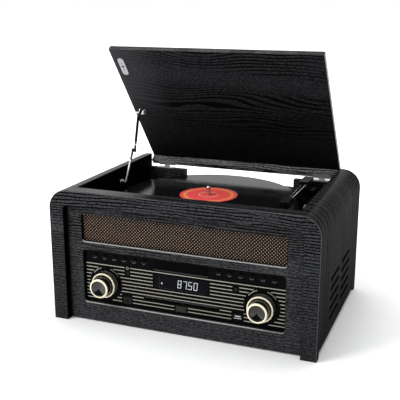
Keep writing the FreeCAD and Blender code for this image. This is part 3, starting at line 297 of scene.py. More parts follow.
class StainedWood(Shader):
    """Black-stained open-grain veneer: a speckled ground under long growth lines that come and go."""

    def __init__(self, name, path, dark, light, gloss=0.55, shine=0.03, seed=0.0, lined=0.92):
        super().__init__(name, light, gloss, Specular_IOR_Level=shine)
        point = self.vectors("ADD", path(self), tuple(seed * share for share in SEED_SHARES))
        sway = self.noise(self.vectors("MULTIPLY", point, SWAY_RATES), detail=3.0)
        turns = self.times(self.split(point)[1], FULL_TURN / LINE_PITCH)
        waves = self.calc("SINE", self.times_plus(sway, LINE_SWAY, turns))
        patches = self.noise(self.vectors("MULTIPLY", point, PATCH_RATES))
        strength = self.ramp(patches, (0.32, 0.0), (0.48, 1.0))
        lines = self.times(self.ramp(waves, (0.0, 0.0), (0.45, 1.0)), strength)
        fading = self.ramp(self.split(self.place())[2], (0.03, 0.4), (0.16, 1.0))
        self.lines = self.times(lines, fading)
        self.speckle = self.noise(self.vectors("MULTIPLY", point, SPECKLE_RATES), roughness=0.6)
        ground = self.ramp(self.speckle, (0.36, dark), (0.66, light))
        self.tone = self.shaded(ground, self.times_plus(self.lines, -lined, 1.0))
        self.set("Base Color", self.tone)
        self.set("Roughness", self.ramp(self.speckle, (0.3, gloss - 0.06), (0.7, gloss + 0.12)))
        self.bump(self.minus(self.speckle, self.lines), strength=0.2, distance=0.0004)


def board_wood():
    """The front board: painted shadow along its top and left edges, painted shade on its faces that look
    sideways such as the side walls of its windows, and a painted highlight on the lip under each window.
    """
    shader = StainedWood("board_wood", along_x_up, DARK, LIGHT, seed=1.3)
    low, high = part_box("front_baffle")
    sideways, _, upward = shader.split(shader.normal())
    x, y, z = shader.split(shader.place())
    # Painted shadow within a few millimetres of the top and left edges, and painted shade on faces that look
    # sideways
    from_rim = shader.calc("MINIMUM", shader.minus(high.z, z), shader.minus(x, low.x))
    jamb_shade = shader.ramp(shader.size(sideways), (0.5, 1.0), (0.8, 0.06))
    border = shader.ramp(shader.times(from_rim, CENTIMETRES), (0.15, 0.12), (0.55, 1.0))
    shade = shader.times(jamb_shade, border)
    # Upward faces get a painted highlight, bright near the front and dark further in
    behind = shader.times(shader.minus(y, low.y), CENTIMETRES)
    lip = shader.ramp(behind, (0.12, 0.42), (0.2, 0.03))
    pale = shader.ramp(upward, (0.25, 0.0), (0.75, 1.0))
    shader.set("Base Color", shader.mix(pale, shader.shaded(shader.tone, shade), lip))
    return shader.material


# Arch skin: rates along the bend and from front to back, then how much the growth lines, the painted shade
# over the whole skin and the painted shade inside its openings darken it
SKIN_SWAY_RATES, SKIN_PATCH_RATES, SKIN_PATCH_LAYER = (5.0, 9.0), (3.0, 11.0), 4.0
SKIN_LINES, SKIN_SWAY = 350.0, 9.0
SKIN_MARKED, SKIN_SHADE, INSIDE_SHADE = 0.72, 0.22, 0.97
# How far left of the middle the ramps along the arch and the lid start
ARCH_LEFT, LID_LEFT = 0.25, 0.2


def arch_wood():
    """The arch: broken lines across its front, darker streaks and bands of growth lines round its skin,
    painted shade over the skin and inside its openings, darker towards the bottom, and painted highlights on
    its front edge and on the tops at its left end.
    """
    shader = StainedWood("arch_wood", arch_faces, DARK, LIGHT, shine=0.012)
    _, facing, upward = shader.split(shader.normal())
    skin = shader.ramp(shader.size(facing), (0.55, 1.0), (0.75, 0.0))
    along, across, depth = shader.split(arch_path(shader))
    under = shader.times(depth, CENTIMETRES)
    sway = shader.drift(along, across, SKIN_SWAY_RATES, 0.0)
    waves = shader.calc("SINE", shader.times_plus(sway, SKIN_SWAY, shader.times(across, SKIN_LINES)))
    patches = shader.drift(along, across, SKIN_PATCH_RATES, SKIN_PATCH_LAYER)
    lines = shader.ramp(waves, (0.2, 0.0), (0.7, 1.0))
    marked = shader.times(shader.ramp(patches, (0.42, 0.0), (0.55, 1.0)), lines)
    x, _, z = shader.split(shader.place())
    # Darker towards the bottom, on the skin and on the front
    skin_low = shader.ramp(z, (0.02, 0.4), (0.17, 1.0))
    front_low = shader.ramp(z, (0.02, 0.68), (0.16, 1.0))
    # Painted shade on skin faces more than about 1.5 mm under the outer face: the vents and the inner walls
    # of the legs and the well
    inside = shader.times(shader.ramp(under, (0.12, 0.0), (0.2, 1.0)), INSIDE_SHADE)
    # Growth lines, with painted shade over the whole skin and inside its openings
    lines_and_shade = shader.calc("MAXIMUM", shader.times_plus(marked, SKIN_MARKED, SKIN_SHADE), inside)
    bare = shader.minus(1.0, shader.times(skin, lines_and_shade))
    light = shader.times(bare, shader.mix(skin, front_low, skin_low))
    # Painted highlight on the front and back faces within about a millimetre of the outer edge
    edge = shader.ramp(under, (0.07, 0.6), (0.12, 0.0))
    wear_and_highlight = shader.times(shader.minus(1.0, skin), edge)
    faces = shader.mix(wear_and_highlight, shader.shaded(shader.tone, light), EDGE_HIGHLIGHT)
    # Painted highlight on upward faces near the left end
    left_end = shader.ramp(shader.plus(x, ARCH_LEFT), (0.03, 0.6), (0.12, 1.0), (0.2, 0.0))
    level = shader.times(shader.ramp(upward, (0.95, 0.0), (0.99, 1.0)), left_end)
    top_highlight = shader.ramp(shader.speckle, (0.35, 0.05), (0.65, 0.13))
    shader.set("Base Color", shader.mix(level, faces, top_highlight))
    shader.set("Roughness", shader.ramp(upward, (0.0, 0.7), (0.85, 0.55), (0.98, 0.26)))
    return shader.material


# Lid figure: swells have a middle and a size across and along the lid, and a height in the lines' phase
LID_SWELLS = (
    ((-0.02, 0.28), (0.05, 0.03), 15.0),
    ((-0.1, 0.148), (0.05, 0.02), 12.0),
    ((0.05, 0.132), (0.07, 0.018), -9.0),
)
LID_BELTS = ((0.27, 0.0), (0.34, 0.95), (0.59, 0.95), (0.65, 0.0), (0.71, 0.0), (0.76, 0.95))
LID_LINES, LID_SWAY, LID_SWAY_RATES, LID_SWAY_LAYER = 700.0, 42.0, (6.0, 14.0), 2.7
LID_PATCH_RATES, LID_PATCH_LAYER = (9.0, 60.0), 0.4
LID_TILT, BELT_RATE = 0.08, 3.0
# Painted light over the lid, falling off towards the hinge: its slope across and along the lid
FALLOFF_ACROSS, FALLOFF_ALONG = -0.8, 2.6
LID_LINED, EDGE_LINED, SHEEN_SHARE = 0.97, 0.4, 0.6


def swell(shader, across, reach, middle, size, height):
    """A smooth hill round a point of the lid, which bends the growth lines round it."""
    aside = shader.calc("DIVIDE", shader.minus(across, middle[0]), size[0])
    along = shader.calc("DIVIDE", shader.minus(reach, middle[1]), size[1])
    fall = shader.times(shader.squares(aside, along), -1.0)
    return shader.times(shader.calc("EXPONENT", fall), height)


def lid_wood():
    """The lid board: two belts of dark growth lines on a speckled ground darkened as painted shade, with
    painted light that falls off towards the hinge, a painted sheen on its left part and painted highlights on
    its edges and ends.
    """
    # The lid's ground is darkened as painted shade
    shader = StainedWood("lid_wood", lid_plane, BLACK, COAL, gloss=0.6, seed=3.1, lined=0.25)
    across, reach, _ = shader.split(lid_plane(shader))
    sway = shader.drift(across, reach, LID_SWAY_RATES, LID_SWAY_LAYER, detail=1.0)
    level = shader.times_plus(across, LID_TILT, reach)
    phase = shader.times_plus(sway, LID_SWAY, shader.times(level, LID_LINES))
    for middle, size, height in LID_SWELLS:
        phase = shader.plus(phase, swell(shader, across, reach, middle, size, height))
    belts = shader.ramp(shader.times(level, BELT_RATE), *LID_BELTS)
    patches = shader.drift(across, reach, LID_PATCH_RATES, LID_PATCH_LAYER)
    uneven = shader.ramp(patches, (0.38, 0.5), (0.54, 1.0))
    lines = shader.ramp(shader.calc("SINE", phase), (0.0, 0.0), (0.4, 1.0))
    ringed = shader.times(shader.times(belts, uneven), lines)
    figure = shader.shaded(shader.tone, shader.times_plus(ringed, -LID_LINED, 1.0))
    # Painted light that falls off towards the hinge and the right
    slope = shader.times_plus(across, FALLOFF_ACROSS, shader.times(reach, FALLOFF_ALONG))
    light_falloff = shader.ramp(slope, (0.0, 0.4), (0.2, 0.5), (0.42, 0.78), (0.95, 1.2))
    # Painted sheen on the lid's left part, away from the hinge
    left_part = shader.ramp(shader.plus(across, LID_LEFT), (0.02, 1.0), (0.1, 0.0))
    sheen = shader.times(left_part, shader.ramp(reach, (0.1, 0.0), (0.18, 1.0)))
    face = shader.mix(shader.times(sheen, SHEEN_SHARE), shader.shaded(figure, light_falloff), LID_SHEEN)
    # Painted highlights: the edge faces get a paler tone, and the ends that look sideways a bright one
    normal = shader.normal()
    through = shader.vectors("DOT_PRODUCT", normal, LID_THROUGH, "Value")
    edge = shader.ramp(shader.size(through), (0.4, 1.0), (0.8, 0.0))
    edge_lines = shader.times_plus(shader.lines, -EDGE_LINED, 1.0)
    pale = shader.shaded(shader.ramp(shader.speckle, (0.35, 0.03), (0.65, 0.085)), edge_lines)
    ends = shader.ramp(shader.size(shader.split(normal)[0]), (0.5, 0.0), (0.8, 1.0))
    shader.set("Base Color", shader.mix(ends, shader.mix(edge, face, pale), LID_END_HIGHLIGHT))
    return shader.material


# Plastic, metal and paper
# The buttons' rim tone is a painted highlight
JET, KNOB_GOLD, BUTTON_HIGHLIGHT = (0.002, 0.002, 0.0022), (0.88, 0.8, 0.58), (0.16, 0.16, 0.17)
KNOB_RIM, KNOB_RIM_DEEP, KNOB_SKIRT, KNOB_DISH = 12.9 * MM, 1.7 * MM, 20.9 * MM, 11.6 * MM
DISH_CURVE, DISH_SLOPE = 5.0, 0.24
# The tube's bright tone is a painted highlight
TUBE_DARK, TUBE_HIGHLIGHT = (0.006, 0.006, 0.0065), (0.8, 0.81, 0.83)
# How fast the knobs' skirt turns to its painted sheen, going back towards the fascia
SKIRT_RATE = 30.0
WEAR_GAIN, WEAR_LIFT = 1.7, 0.001


def gloss_plastic(name, colour, low, high, shine=0.5):
    """Polished plastic with a faint unevenness."""
    shader = Shader(name, colour, low, Specular_IOR_Level=shine)
    shader.mottled(scale=60.0, low=low, high=high)
    shader.bump(shader.noise(shader.place(), scale=240.0, detail=3.0), strength=0.02, distance=0.0003)
    return shader.material


def knob_gloss():
    """Polished black, with a gold front rim round a dished face and a skirt painted grey towards the fascia
    as a painted sheen.
    """
    shader = Shader("knob_gloss", JET, roughness=0.1, Specular_IOR_Level=0.6)
    shader.mottled(scale=60.0, low=0.06, high=0.12)
    centre = joint_place("volume_turn")
    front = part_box("volume_knob")[0].y
    x, y, z = shader.split(shader.place())
    aside = shader.minus(shader.size(x), abs(centre.x))
    radius = shader.length(aside, shader.minus(z, centre.z))
    at_front = shader.calc("LESS_THAN", y, front + KNOB_RIM_DEEP)
    rim = shader.times(shader.calc("GREATER_THAN", radius, KNOB_RIM), at_front)
    # Painted sheen: the skirt turns grey towards the fascia
    behind = shader.times(shader.minus(y, front), SKIRT_RATE)
    grey = shader.ramp(behind, (0.5, 0.008), (0.75, 0.09))
    skirt = shader.calc("GREATER_THAN", radius, KNOB_SKIRT)
    shader.set("Base Color", shader.mix(rim, shader.mix(skirt, JET, grey), KNOB_GOLD))
    face = shader.calc("MINIMUM", radius, KNOB_DISH)
    dish = shader.times_plus(shader.times(face, face), DISH_CURVE, shader.times(face, DISH_SLOPE))
    shader.bump(dish, strength=1.0, distance=1.0)
    return shader.material


def button_gloss():
    """Polished black buttons with a painted highlight on their lower rim."""
    shader = Shader("button_gloss", JET, roughness=0.12, Specular_IOR_Level=0.04)
    shader.mottled(scale=200.0, low=0.1, high=0.16)
    # Painted highlight on faces that look down
    downward = shader.times(shader.split(shader.normal())[2], -1.0)
    rim = shader.ramp(downward, (0.1, 0.0), (0.45, 1.0))
    shader.set("Base Color", shader.mix(rim, JET, BUTTON_HIGHLIGHT))
    return shader.material


# Bright stretches of the stay, a collar and a rod, at shares of the way from the lid to the foot; their
# chrome is a painted reflection
STAY_BRIGHT = ((0.0, 0.0), (0.448, 0.0), (0.45, 1.0), (0.464, 1.0), (0.466, 0.0), (0.676, 0.0), (0.678, 1.0))
ROD_REFLECTION_BRIGHT, ROD_REFLECTION_DARK, STAY_BLACK = (0.85, 0.86, 0.88), (0.04, 0.04, 0.042), (0.0015, 0.0015, 0.0016)


def stay_paint_and_reflection():
    """The stay's bars: black from the lid down, with a bright collar, then a bright rod dark on one side,
    both a painted reflection of chrome.
    """
    shader = Shader("stay_paint_and_reflection", (0.02, 0.02, 0.02), roughness=0.3, Specular_IOR_Level=0.2)
    shader.mottled(scale=200.0, low=0.25, high=0.4)
    head, foot = joint_place("stay_upper_hinge"), joint_place("stay_lower_hinge")
    down = shader.vectors("DISTANCE", shader.place(), head, "Value")
    share = shader.calc("DIVIDE", down, (head - foot).length)
    bright = shader.ramp(share, *STAY_BRIGHT)
    sideways = shader.split(shader.normal())[0]
    # Painted reflection of the chrome collar and rod: bright, and dark on faces that look towards +x
    rod = shader.mix(shader.ramp(sideways, (0.4, 0.0), (0.6, 1.0)), ROD_REFLECTION_BRIGHT, ROD_REFLECTION_DARK)
    shader.set("Base Color", shader.mix(bright, STAY_BLACK, rod))
    return shader.material


def arm_plastic(name, side, top, shine=0.1):
    """Dark moulded plastic whose upper faces are painted grey as painted light."""
    shader = Shader(name, side, roughness=0.4, Specular_IOR_Level=shine)
    upward = shader.split(shader.normal())[2]
    # Painted light: upward faces turn from the side tone to the lighter top tone
    shader.set("Base Color", shader.mix(shader.ramp(upward, (0.55, 0.0), (0.95, 1.0)), side, top))
    shader.mottled(scale=120.0, low=0.32, high=0.46)
    return shader.material


def arm_tube():
    """A dark tube with painted highlights on its bevelled edges."""
    shader = Shader("arm_tube", (0.01, 0.01, 0.01), roughness=0.3, Specular_IOR_Level=0.5)
    upward = shader.split(shader.normal())[2]
    # Painted highlights on the slanted faces between its top and its sides
    bevel = shader.ramp(upward, (0.15, 0.0), (0.35, 1.0), (0.9, 1.0), (0.97, 0.0))
    shader.set("Base Color", shader.mix(bevel, TUBE_DARK, TUBE_HIGHLIGHT))
    shader.mottled(scale=150.0, low=0.22, high=0.34)
    return shader.material


def moulded_plastic(name, colour, roughness, shine=0.3):
    """Fine spark-eroded texture with a little wear."""
    shader = Shader(name, colour, roughness, Specular_IOR_Level=shine)
    wear = shader.noise(shader.place(), scale=35.0, detail=5.0, roughness=0.65)
    wear_and_highlight = tuple(part * WEAR_GAIN + WEAR_LIFT for part in colour)
    shader.set("Base Color", shader.mix(shader.ramp(wear, (0.45, 0.0), (0.8, 0.5)), colour, wear_and_highlight))
    shader.set("Roughness", shader.ramp(wear, (0.3, roughness - 0.08), (0.7, roughness + 0.1)))
    shader.bump(shader.noise(shader.place(), scale=1900.0), strength=0.18, distance=0.0002)
    return shader.material


def metal(name, colour, low, high, brush=None):
    """Plated or turned metal, with faint scratches or a brushed direction."""
    shader = Shader(name, colour, low, Metallic=1.0)
    point = shader.place() if brush is None else shader.vectors("MULTIPLY", shader.place(), brush)
    marks = shader.noise(point, scale=320.0 if brush is None else 40.0, detail=4.0, roughness=0.6)
    shader.set("Roughness", shader.ramp(marks, (0.35, low), (0.75, high)))
    shader.bump(marks, strength=0.05, distance=0.0002)
    return shader.material


WEAVE_PITCH, FIBRE_SCALE, FIBRE_HEIGHT = 5.4 * MM, 2600.0, 0.12
WEAVE = (
    (0.52, (0.0008, 0.0006, 0.0006)),
    (0.68, (0.007, 0.0035, 0.0022)),
    (0.8, (0.06, 0.028, 0.016)),
    (0.97, (0.5, 0.34, 0.22)),
)


def grille_cloth():
    """Open weave on the diagonal: dark gaps, brown threads and pale crossings."""
    shader = Shader("grille_cloth", (0.06, 0.04, 0.03), roughness=0.75, Specular_IOR_Level=0.2)
    x, _, z = shader.split(shader.place())
    rising = shader.calc("SINE", shader.times(shader.plus(x, z), FULL_TURN / WEAVE_PITCH))
    falling = shader.calc("SINE", shader.times(shader.minus(x, z), FULL_TURN / WEAVE_PITCH))
    cross = shader.times_plus(shader.plus(rising, falling), 0.25, 0.5)
    fibres = shader.minus(shader.noise(shader.place(), scale=FIBRE_SCALE), 0.5)
    height = shader.plus(cross, shader.times(fibres, FIBRE_HEIGHT))
    shader.set("Base Color", shader.ramp(height, *WEAVE))
    shader.bump(height, strength=0.6, distance=0.0012)
    return shader.material


RECORD_RADIUS, GROOVE_PITCH, GROOVE_HEIGHT, WANDER_RATE = 151 * MM, 0.9 * MM, 0.3, 900.0
SMOOTH_BANDS, BAND_HALF = (0.375, 0.47, 0.575, 0.655, 0.745, 0.835, 0.962), 0.006
MIDDLE_ROUGH, GROOVE_ROUGH, BAND_ROUGH = 0.06, 0.11, 0.05


def vinyl(centre):
    """Pressed vinyl: fine grooves, smooth bands between the tracks and a run-out ring."""
    shader = Shader("vinyl", (0.006, 0.0063, 0.007), roughness=0.12, Anisotropic=0.3, Specular_IOR_Level=0.12)
    tangent = shader.node("ShaderNodeTangent", direction_type="RADIAL", axis="Z")
    shader.set("Tangent", tangent.outputs[0])
    radius = radius_from(shader, centre)
    share = shader.calc("DIVIDE", radius, RECORD_RADIUS)
    stops = [(0.0, MIDDLE_ROUGH)]
    for middle in SMOOTH_BANDS:
        start, end = middle - BAND_HALF, middle + BAND_HALF
        stops += [(start, GROOVE_ROUGH), (middle, BAND_ROUGH), (end, GROOVE_ROUGH)]
    shader.set("Roughness", shader.ramp(share, *stops))
    grooves = shader.calc("SINE", shader.times(radius, FULL_TURN / GROOVE_PITCH))
    wander = shader.noise(shader.join(shader.times(radius, WANDER_RATE), 0.0, 0.0), detail=3.0)
    shader.bump(shader.plus(shader.times(grooves, GROOVE_HEIGHT), wander), strength=0.05, distance=0.0003)
    return shader.material


LABEL_RADIUS = 50 * MM
LABEL_RED, LABEL_ORANGE, LABEL_PALE = (1.0, 0.085, 0.09), (1.0, 0.4, 0.09), (1.0, 0.6, 0.36)
LABEL_FIBRE = (0.85, 0.17, 0.13)
LABEL_RINGS = (
    (0.0, LABEL_RED), (0.3, LABEL_RED), (0.31, LABEL_PALE), (0.335, LABEL_PALE), (0.345, LABEL_RED),
    (0.76, LABEL_RED), (0.78, LABEL_ORANGE), (0.86, LABEL_ORANGE), (0.88, LABEL_RED), (1.0, LABEL_RED),
)


def paper_label(centre):
    """Coral red paper with two plain rings."""
    shader = Shader("paper_label", (0.85, 0.09, 0.1), roughness=0.55)
    share = shader.calc("DIVIDE", radius_from(shader, centre), LABEL_RADIUS)
    rings = shader.ramp(share, *LABEL_RINGS)
    fibre = shader.noise(shader.place(), scale=900.0, detail=3.0)
    shader.set("Base Color", shader.mix(shader.ramp(fibre, (0.4, 0.0), (0.8, 0.25)), rings, LABEL_FIBRE))
    shader.bump(fibre, strength=0.15, distance=0.0002)
    return shader.material


def lit_segment():
    """A figure on the display that glows a little."""
    glow = (0.9, 0.92, 0.94, 1.0)
    shader = Shader("lit_segment", (0.6, 0.62, 0.63), roughness=0.4, Emission_Color=glow,
                    Emission_Strength=0.3)
    shader.mottled(scale=400.0, low=0.35, high=0.5)
    return shader.material


def studio_floor():
    """Pale floor that glows faintly near the player and more away from it, so that it fades into the
    backdrop.
    """
    shader = Shader("studio_floor", (0.96, 0.965, 0.975), roughness=0.6, Specular_IOR_Level=0.1,
                    Emission_Strength=1.0)
    shader.mottled(scale=3.0, low=0.55, high=0.65)
    away = radius_from(shader, Vector((0.0, 0.0, 0.0)))
    # Painted glow, low near the player to keep its shadow and high far off
    shader.set("Emission Color", shader.ramp(away, (0.25, 0.04), (0.9, 0.75)))
    return shader.material


# Looks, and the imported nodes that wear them
spindle_axis = joint_place("platter_spin")
looks = {
    "arch_wood": arch_wood(),
    "board_wood": board_wood(),
    "rear_wood": StainedWood("rear_wood", along_x_up, DARK, LIGHT, seed=4.4).material,
    "well_wood": StainedWood("well_wood", along_x, BLACK, WELL_BLACK, gloss=0.6, seed=2.2).material,
    "lid_wood": lid_wood(),
    "batten_wood": StainedWood("batten_wood", lid_plane_turned, BATTEN_DARK, BATTEN_LIGHT, seed=5.7).material,
    "panel_board": StainedWood("panel_board", along_x, PANEL_DARK, PANEL_LIGHT, seed=7.9).material,
    "fascia_gloss": gloss_plastic("fascia_gloss", (0.0012, 0.0012, 0.0014), low=0.3, high=0.4, shine=0.03),
    "knob_gloss": knob_gloss(),
    "display_black": gloss_plastic("display_black", (0.002, 0.002, 0.0042), low=0.14, high=0.2, shine=0.04),
    "plate_black": gloss_plastic("plate_black", (0.0008, 0.0008, 0.001), low=0.2, high=0.3, shine=0.02),
    "filter_smoke": gloss_plastic("filter_smoke", (0.016, 0.0145, 0.0105), low=0.14, high=0.22, shine=0.2),
    "black_moulded": moulded_plastic("black_moulded", (0.0016, 0.0016, 0.0018), roughness=0.4, shine=0.08),
    "flap_moulded": moulded_plastic("flap_moulded", (0.009, 0.0095, 0.0105), roughness=0.4, shine=0.1),
    "circuit": moulded_plastic("circuit", (0.03, 0.1, 0.045), roughness=0.4),
    "rubber": moulded_plastic("rubber", (0.012, 0.012, 0.012), roughness=0.7),
    "button_gloss": button_gloss(),
    "chrome": metal("chrome", (0.78, 0.79, 0.81), low=0.06, high=0.16),
    "satin_plate": metal("satin_plate", (0.4, 0.4, 0.41), low=0.35, high=0.5),
    "bright_leaf": metal("bright_leaf", (0.9, 0.9, 0.91), low=0.4, high=0.55),
    "dull_leaf": moulded_plastic("dull_leaf", (0.22, 0.22, 0.225), roughness=0.45, shine=0.2),
    "stay_paint_and_reflection": stay_paint_and_reflection(),
    "arm_black": arm_plastic("arm_black", (0.005, 0.005, 0.0053), (0.1, 0.1, 0.104)),
    "head_black": arm_plastic("head_black", (0.004, 0.004, 0.0043), (0.018, 0.018, 0.019)),
    "lever_grey": arm_plastic("lever_grey", (0.008, 0.008, 0.0085), (0.34, 0.34, 0.35), shine=0.3),
    "arm_tube": arm_tube(),
    "usb_dark": moulded_plastic("usb_dark", (0.006, 0.006, 0.0065), roughness=0.35),
    "usb_white": moulded_plastic("usb_white", (0.8, 0.8, 0.82), roughness=0.4),
    "edge_grey": moulded_plastic("edge_grey", (0.03, 0.03, 0.034), roughness=0.4, shine=0.1),
    "steel": metal("steel", (0.52, 0.52, 0.54), low=0.25, high=0.4, brush=(3.0, 40.0, 40.0)),
    "turned_alloy": metal("turned_alloy", (0.62, 0.62, 0.64), low=0.2, high=0.34),
    "brass": metal("brass", (0.72, 0.56, 0.28), low=0.2, high=0.34),
    "gold_ring": gloss_plastic("gold_ring", (0.9, 0.82, 0.6), low=0.3, high=0.42),
    "champagne": metal("champagne", (0.31, 0.3, 0.25), low=0.3, high=0.42),
    "grille_cloth": grille_cloth(),
    "vinyl": vinyl(spindle_axis),
    "paper_label": paper_label(spindle_axis),
    "lit_segment": lit_segment(),
}

worn_by = {
    "arch_wood": ["cabinet_arch"],
    "board_wood": ["front_baffle"],
    "rear_wood": ["rear_panel"],
    "well_wood": ["side_cleats"],
    "lid_wood": ["lid_panel"],
    "batten_wood": ["lid_batten"],
    "panel_board": ["bottom_panel"],
    "fascia_gloss": ["control_fascia"],
    "knob_gloss": ["volume_knob", "tuning_knob"],
    "display_black": ["lcd_window"],
    "black_moulded": ["turntable_deck", "power_inlet", "lcd_module", "speakers"],
    "flap_moulded": ["aux_socket"],
    "circuit": ["control_board", "amplifier_board"],
    "rubber": ["slip_mat", "drive_belt"],
    "button_gloss": [f"{side}_button_{index}" for side in ("left", "right") for index in range(1, 7)],
    "bright_leaf": ["hinge_leaves_fixed"],
    "dull_leaf": ["hinge_leaves_lid"],
    "chrome": ["stay_bracket_lower", "stay_bracket_upper", "lid_catch"],
    "satin_plate": ["lid_plate"],
    "stay_paint_and_reflection": ["stay_lower_arm", "stay_upper_arm"],
    "arm_black": ["tonearm_base", "tonearm_yoke"],
    "head_black": ["headshell", "cartridge", "arm_rest"],
    "arm_tube": ["tonearm_tube"],
    "lever_grey": ["cue_lever", "speed_switch"],
    "usb_dark": ["usb_socket"],
    "steel": ["cd_mechanism", "drive_motor", "hinge_pins", "volume_shaft", "tuning_shaft", "spindle"],
    "turned_alloy": ["platter"],
    "brass": ["platter_bearing", "motor_pulley"],
    "grille_cloth": ["speaker_grille"],
    "vinyl": ["record"],
}
for look, names in worn_by.items():
    for name in names:
        mesh = nodes[name].data
        mesh.materials.clear()
        mesh.materials.append(looks[look])


# Thin trim: sizes without MM are in millimetres


def mesh_of(name, build):
    """A mesh from a function that fills a bmesh."""
    shape = bmesh.new()
    build(shape)
    bmesh.ops.recalc_face_normals(shape, faces=shape.faces)
    mesh = bpy.data.meshes.new(name)
    shape.to_mesh(mesh)
    shape.free()
    return mesh


def piece(name, build, look, body):
    """A piece that rides on a body, from a function that fills a bmesh."""
    mesh = mesh_of(name, build)
    made = bpy.data.objects.new(name, mesh)
    bpy.context.collection.objects.link(made)
    mesh.materials.append(looks[look])
    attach(made, body)


def block(shape, low, high, bevel):
    """A box between two corners, with its edges bevelled."""
    before = set(shape.verts)
    made = bmesh.ops.create_cube(shape, size=1.0)["verts"]
    middle, span = (low + high) / 2, high - low
    for vert in made:
        vert.co = middle + Vector(c * s for c, s in zip(vert.co, span))
    edges = {edge for vert in made for edge in vert.link_edges}
    bmesh.ops.bevel(shape, geom=list(edges), offset=bevel * MM, segments=2, affect="EDGES", profile=0.7)
    return [vert for vert in shape.verts if vert not in before]


def on_face(face, x, z, height=0.0):
    """A point on an upright face that looks to the front, from its place across, up and proud of it."""
    return Vector((x * MM, face - height * MM, z * MM))


def plate(shape, face, left, low, right, high, proud, sunk, bevel):
    """A bevelled plate that stands proud of a face and reaches a little into it."""
    return block(shape, on_face(face, left, low, proud), on_face(face, right, high, -sunk), bevel)


def raised(profile, base):
    """A profile of radius and height pairs in metres, from one in millimetres over a base."""
    return [(radius * MM, base + height * MM) for radius, height in profile]


def band(inner, outer, half):
    """The profile of a flat ring, as high above its plane as below it."""
    return raised(((inner, -half), (outer, -half), (outer, half), (inner, half)), 0.0)


def lathe(shape, profile, origin, axis, start=0.0, sweep=FULL_TURN, steps=64):
    """A closed profile of radius and height pairs, turned about an axis through a point."""
    up = axis.normalized()
    other = up.cross(RIGHT)
    whole = sweep == FULL_TURN
    count = steps if whole else steps + 1
    rings = []
    for step in range(count):
        angle = start + sweep * step / steps
        out = RIGHT * math.cos(angle) + other * math.sin(angle)
        rings.append([shape.verts.new(origin + out * radius + up * height) for radius, height in profile])
    size = len(profile)
    for step in range(steps):
        here, ahead = rings[step], rings[(step + 1) % count]
        for index in range(size):
            following = (index + 1) % size
            shape.faces.new((here[index], ahead[index], ahead[following], here[following]))
    if not whole:
        shape.faces.new(rings[0])
        shape.faces.new(rings[-1])


# Champagne stripes: each row leaves out the knobs and the gaps, given by left, right, low and high
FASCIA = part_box("front_baffle")[1].y
LIFT = 0.18
ROWS, FIRST_ROW, ROW_PITCH, ROW_HALF, ROW_BEVEL, SHORTEST_RUN = 11, 98.2, 5.85, 0.68, 0.12, 1.5
PANEL_EDGE, KNOB_X, KNOB_Z, KNOB_CLEAR = 166.5, 130.8, 66.5, 29.0
GAPS = {
    "display": (-48.0, 48.0, 71.0, 96.5),
    "disc slot": (-64.0, 64.0, 49.0, 56.0),
    "remote window": (-11.5, 11.5, 35.0, 49.0),
    "left socket": (-103.0, -83.5, 34.0, 52.5),
    "right socket": (83.0, 103.0, 34.0, 52.5),
    "left rings": (-97.0, -87.0, 83.5, 102.0),
    "right ring": (84.0, 95.0, 83.5, 95.0),
}


def stripe_runs(z):
    """The stretches of one row that nothing interrupts."""
    blocked = [(left, right) for left, right, low, high in GAPS.values() if low < z < high]
    rise = abs(z - KNOB_Z)
    if rise < KNOB_CLEAR:
        reach = math.sqrt(KNOB_CLEAR**2 - rise**2)
        blocked += [(side * KNOB_X - reach, side * KNOB_X + reach) for side in (-1, 1)]
    runs, start = [], -PANEL_EDGE
    for left, right in sorted(blocked):
        if left > start + SHORTEST_RUN:
            runs.append((start, left))
        start = max(start, right)
    runs.append((start, PANEL_EDGE))
    return runs


def build_stripes(shape):
    for row in range(ROWS):
        z = FIRST_ROW - row * ROW_PITCH
        for left, right in stripe_runs(z):
            plate(shape, FASCIA, left, z - ROW_HALF, right, z + ROW_HALF, LIFT, LIFT, ROW_BEVEL)


piece("fascia_stripes", build_stripes, "champagne", "cabinet")

# Arcs over the knobs, and small printed rings
ARC_INNER, ARC_OUTER, ARC_STEPS = 26.0, 27.0, 20
ARC_DEGREES = ((34, 72), (107, 143))
MARK_INNER, MARK_OUTER, MARK_STEPS = 1.6, 2.3, 28


def build_arcs(shape):
    for side in (-1, 1):
        for start, end in ARC_DEGREES:
            centre = on_face(FASCIA, side * KNOB_X, KNOB_Z)
            lathe(shape, band(ARC_INNER, ARC_OUTER, LIFT), centre, OUT, math.radians(start),
                  math.radians(end - start), ARC_STEPS)


def build_marks(*places):
    """Small printed rings at places on the fascia."""
    def build(shape):
        for x, z in places:
            profile = band(MARK_INNER, MARK_OUTER, LIFT)
            lathe(shape, profile, on_face(FASCIA, x, z), OUT, steps=MARK_STEPS)
    return build


piece("fascia_arcs", build_arcs, "champagne", "cabinet")
piece("fascia_marks", build_marks((-92, 97.6)), "champagne", "cabinet")
piece("jack_marks", build_marks((-92, 89.0), (89.5, 88.6)), "edge_grey", "cabinet")


# Plates on the fascia, and a lip inside the upper edge of the disc slot


def panel(name, look, half, low, high, proud, bevel=0.4, sunk=LIFT):
    """A thin plate in the middle of the fascia, or in an opening of it where proud is negative."""
    def build(shape):
        plate(shape, FASCIA, -half, low, half, high, proud, sunk, bevel)
    piece(name, build, look, "cabinet")


panel("name_plate", "plate_black", half=45, low=103.2, high=117.0, proud=0.7)
panel("plate_lip", "edge_grey", half=45, low=101.4, high=102.9, proud=0.5, bevel=0.2)
panel("slot_lip", "edge_grey", half=61.5, low=53.0, high=55.0, proud=-0.3, bevel=0.2, sunk=1.3)
panel("remote_window", "filter_smoke", half=8.9, low=37.3, high=46.9, proud=0.5)

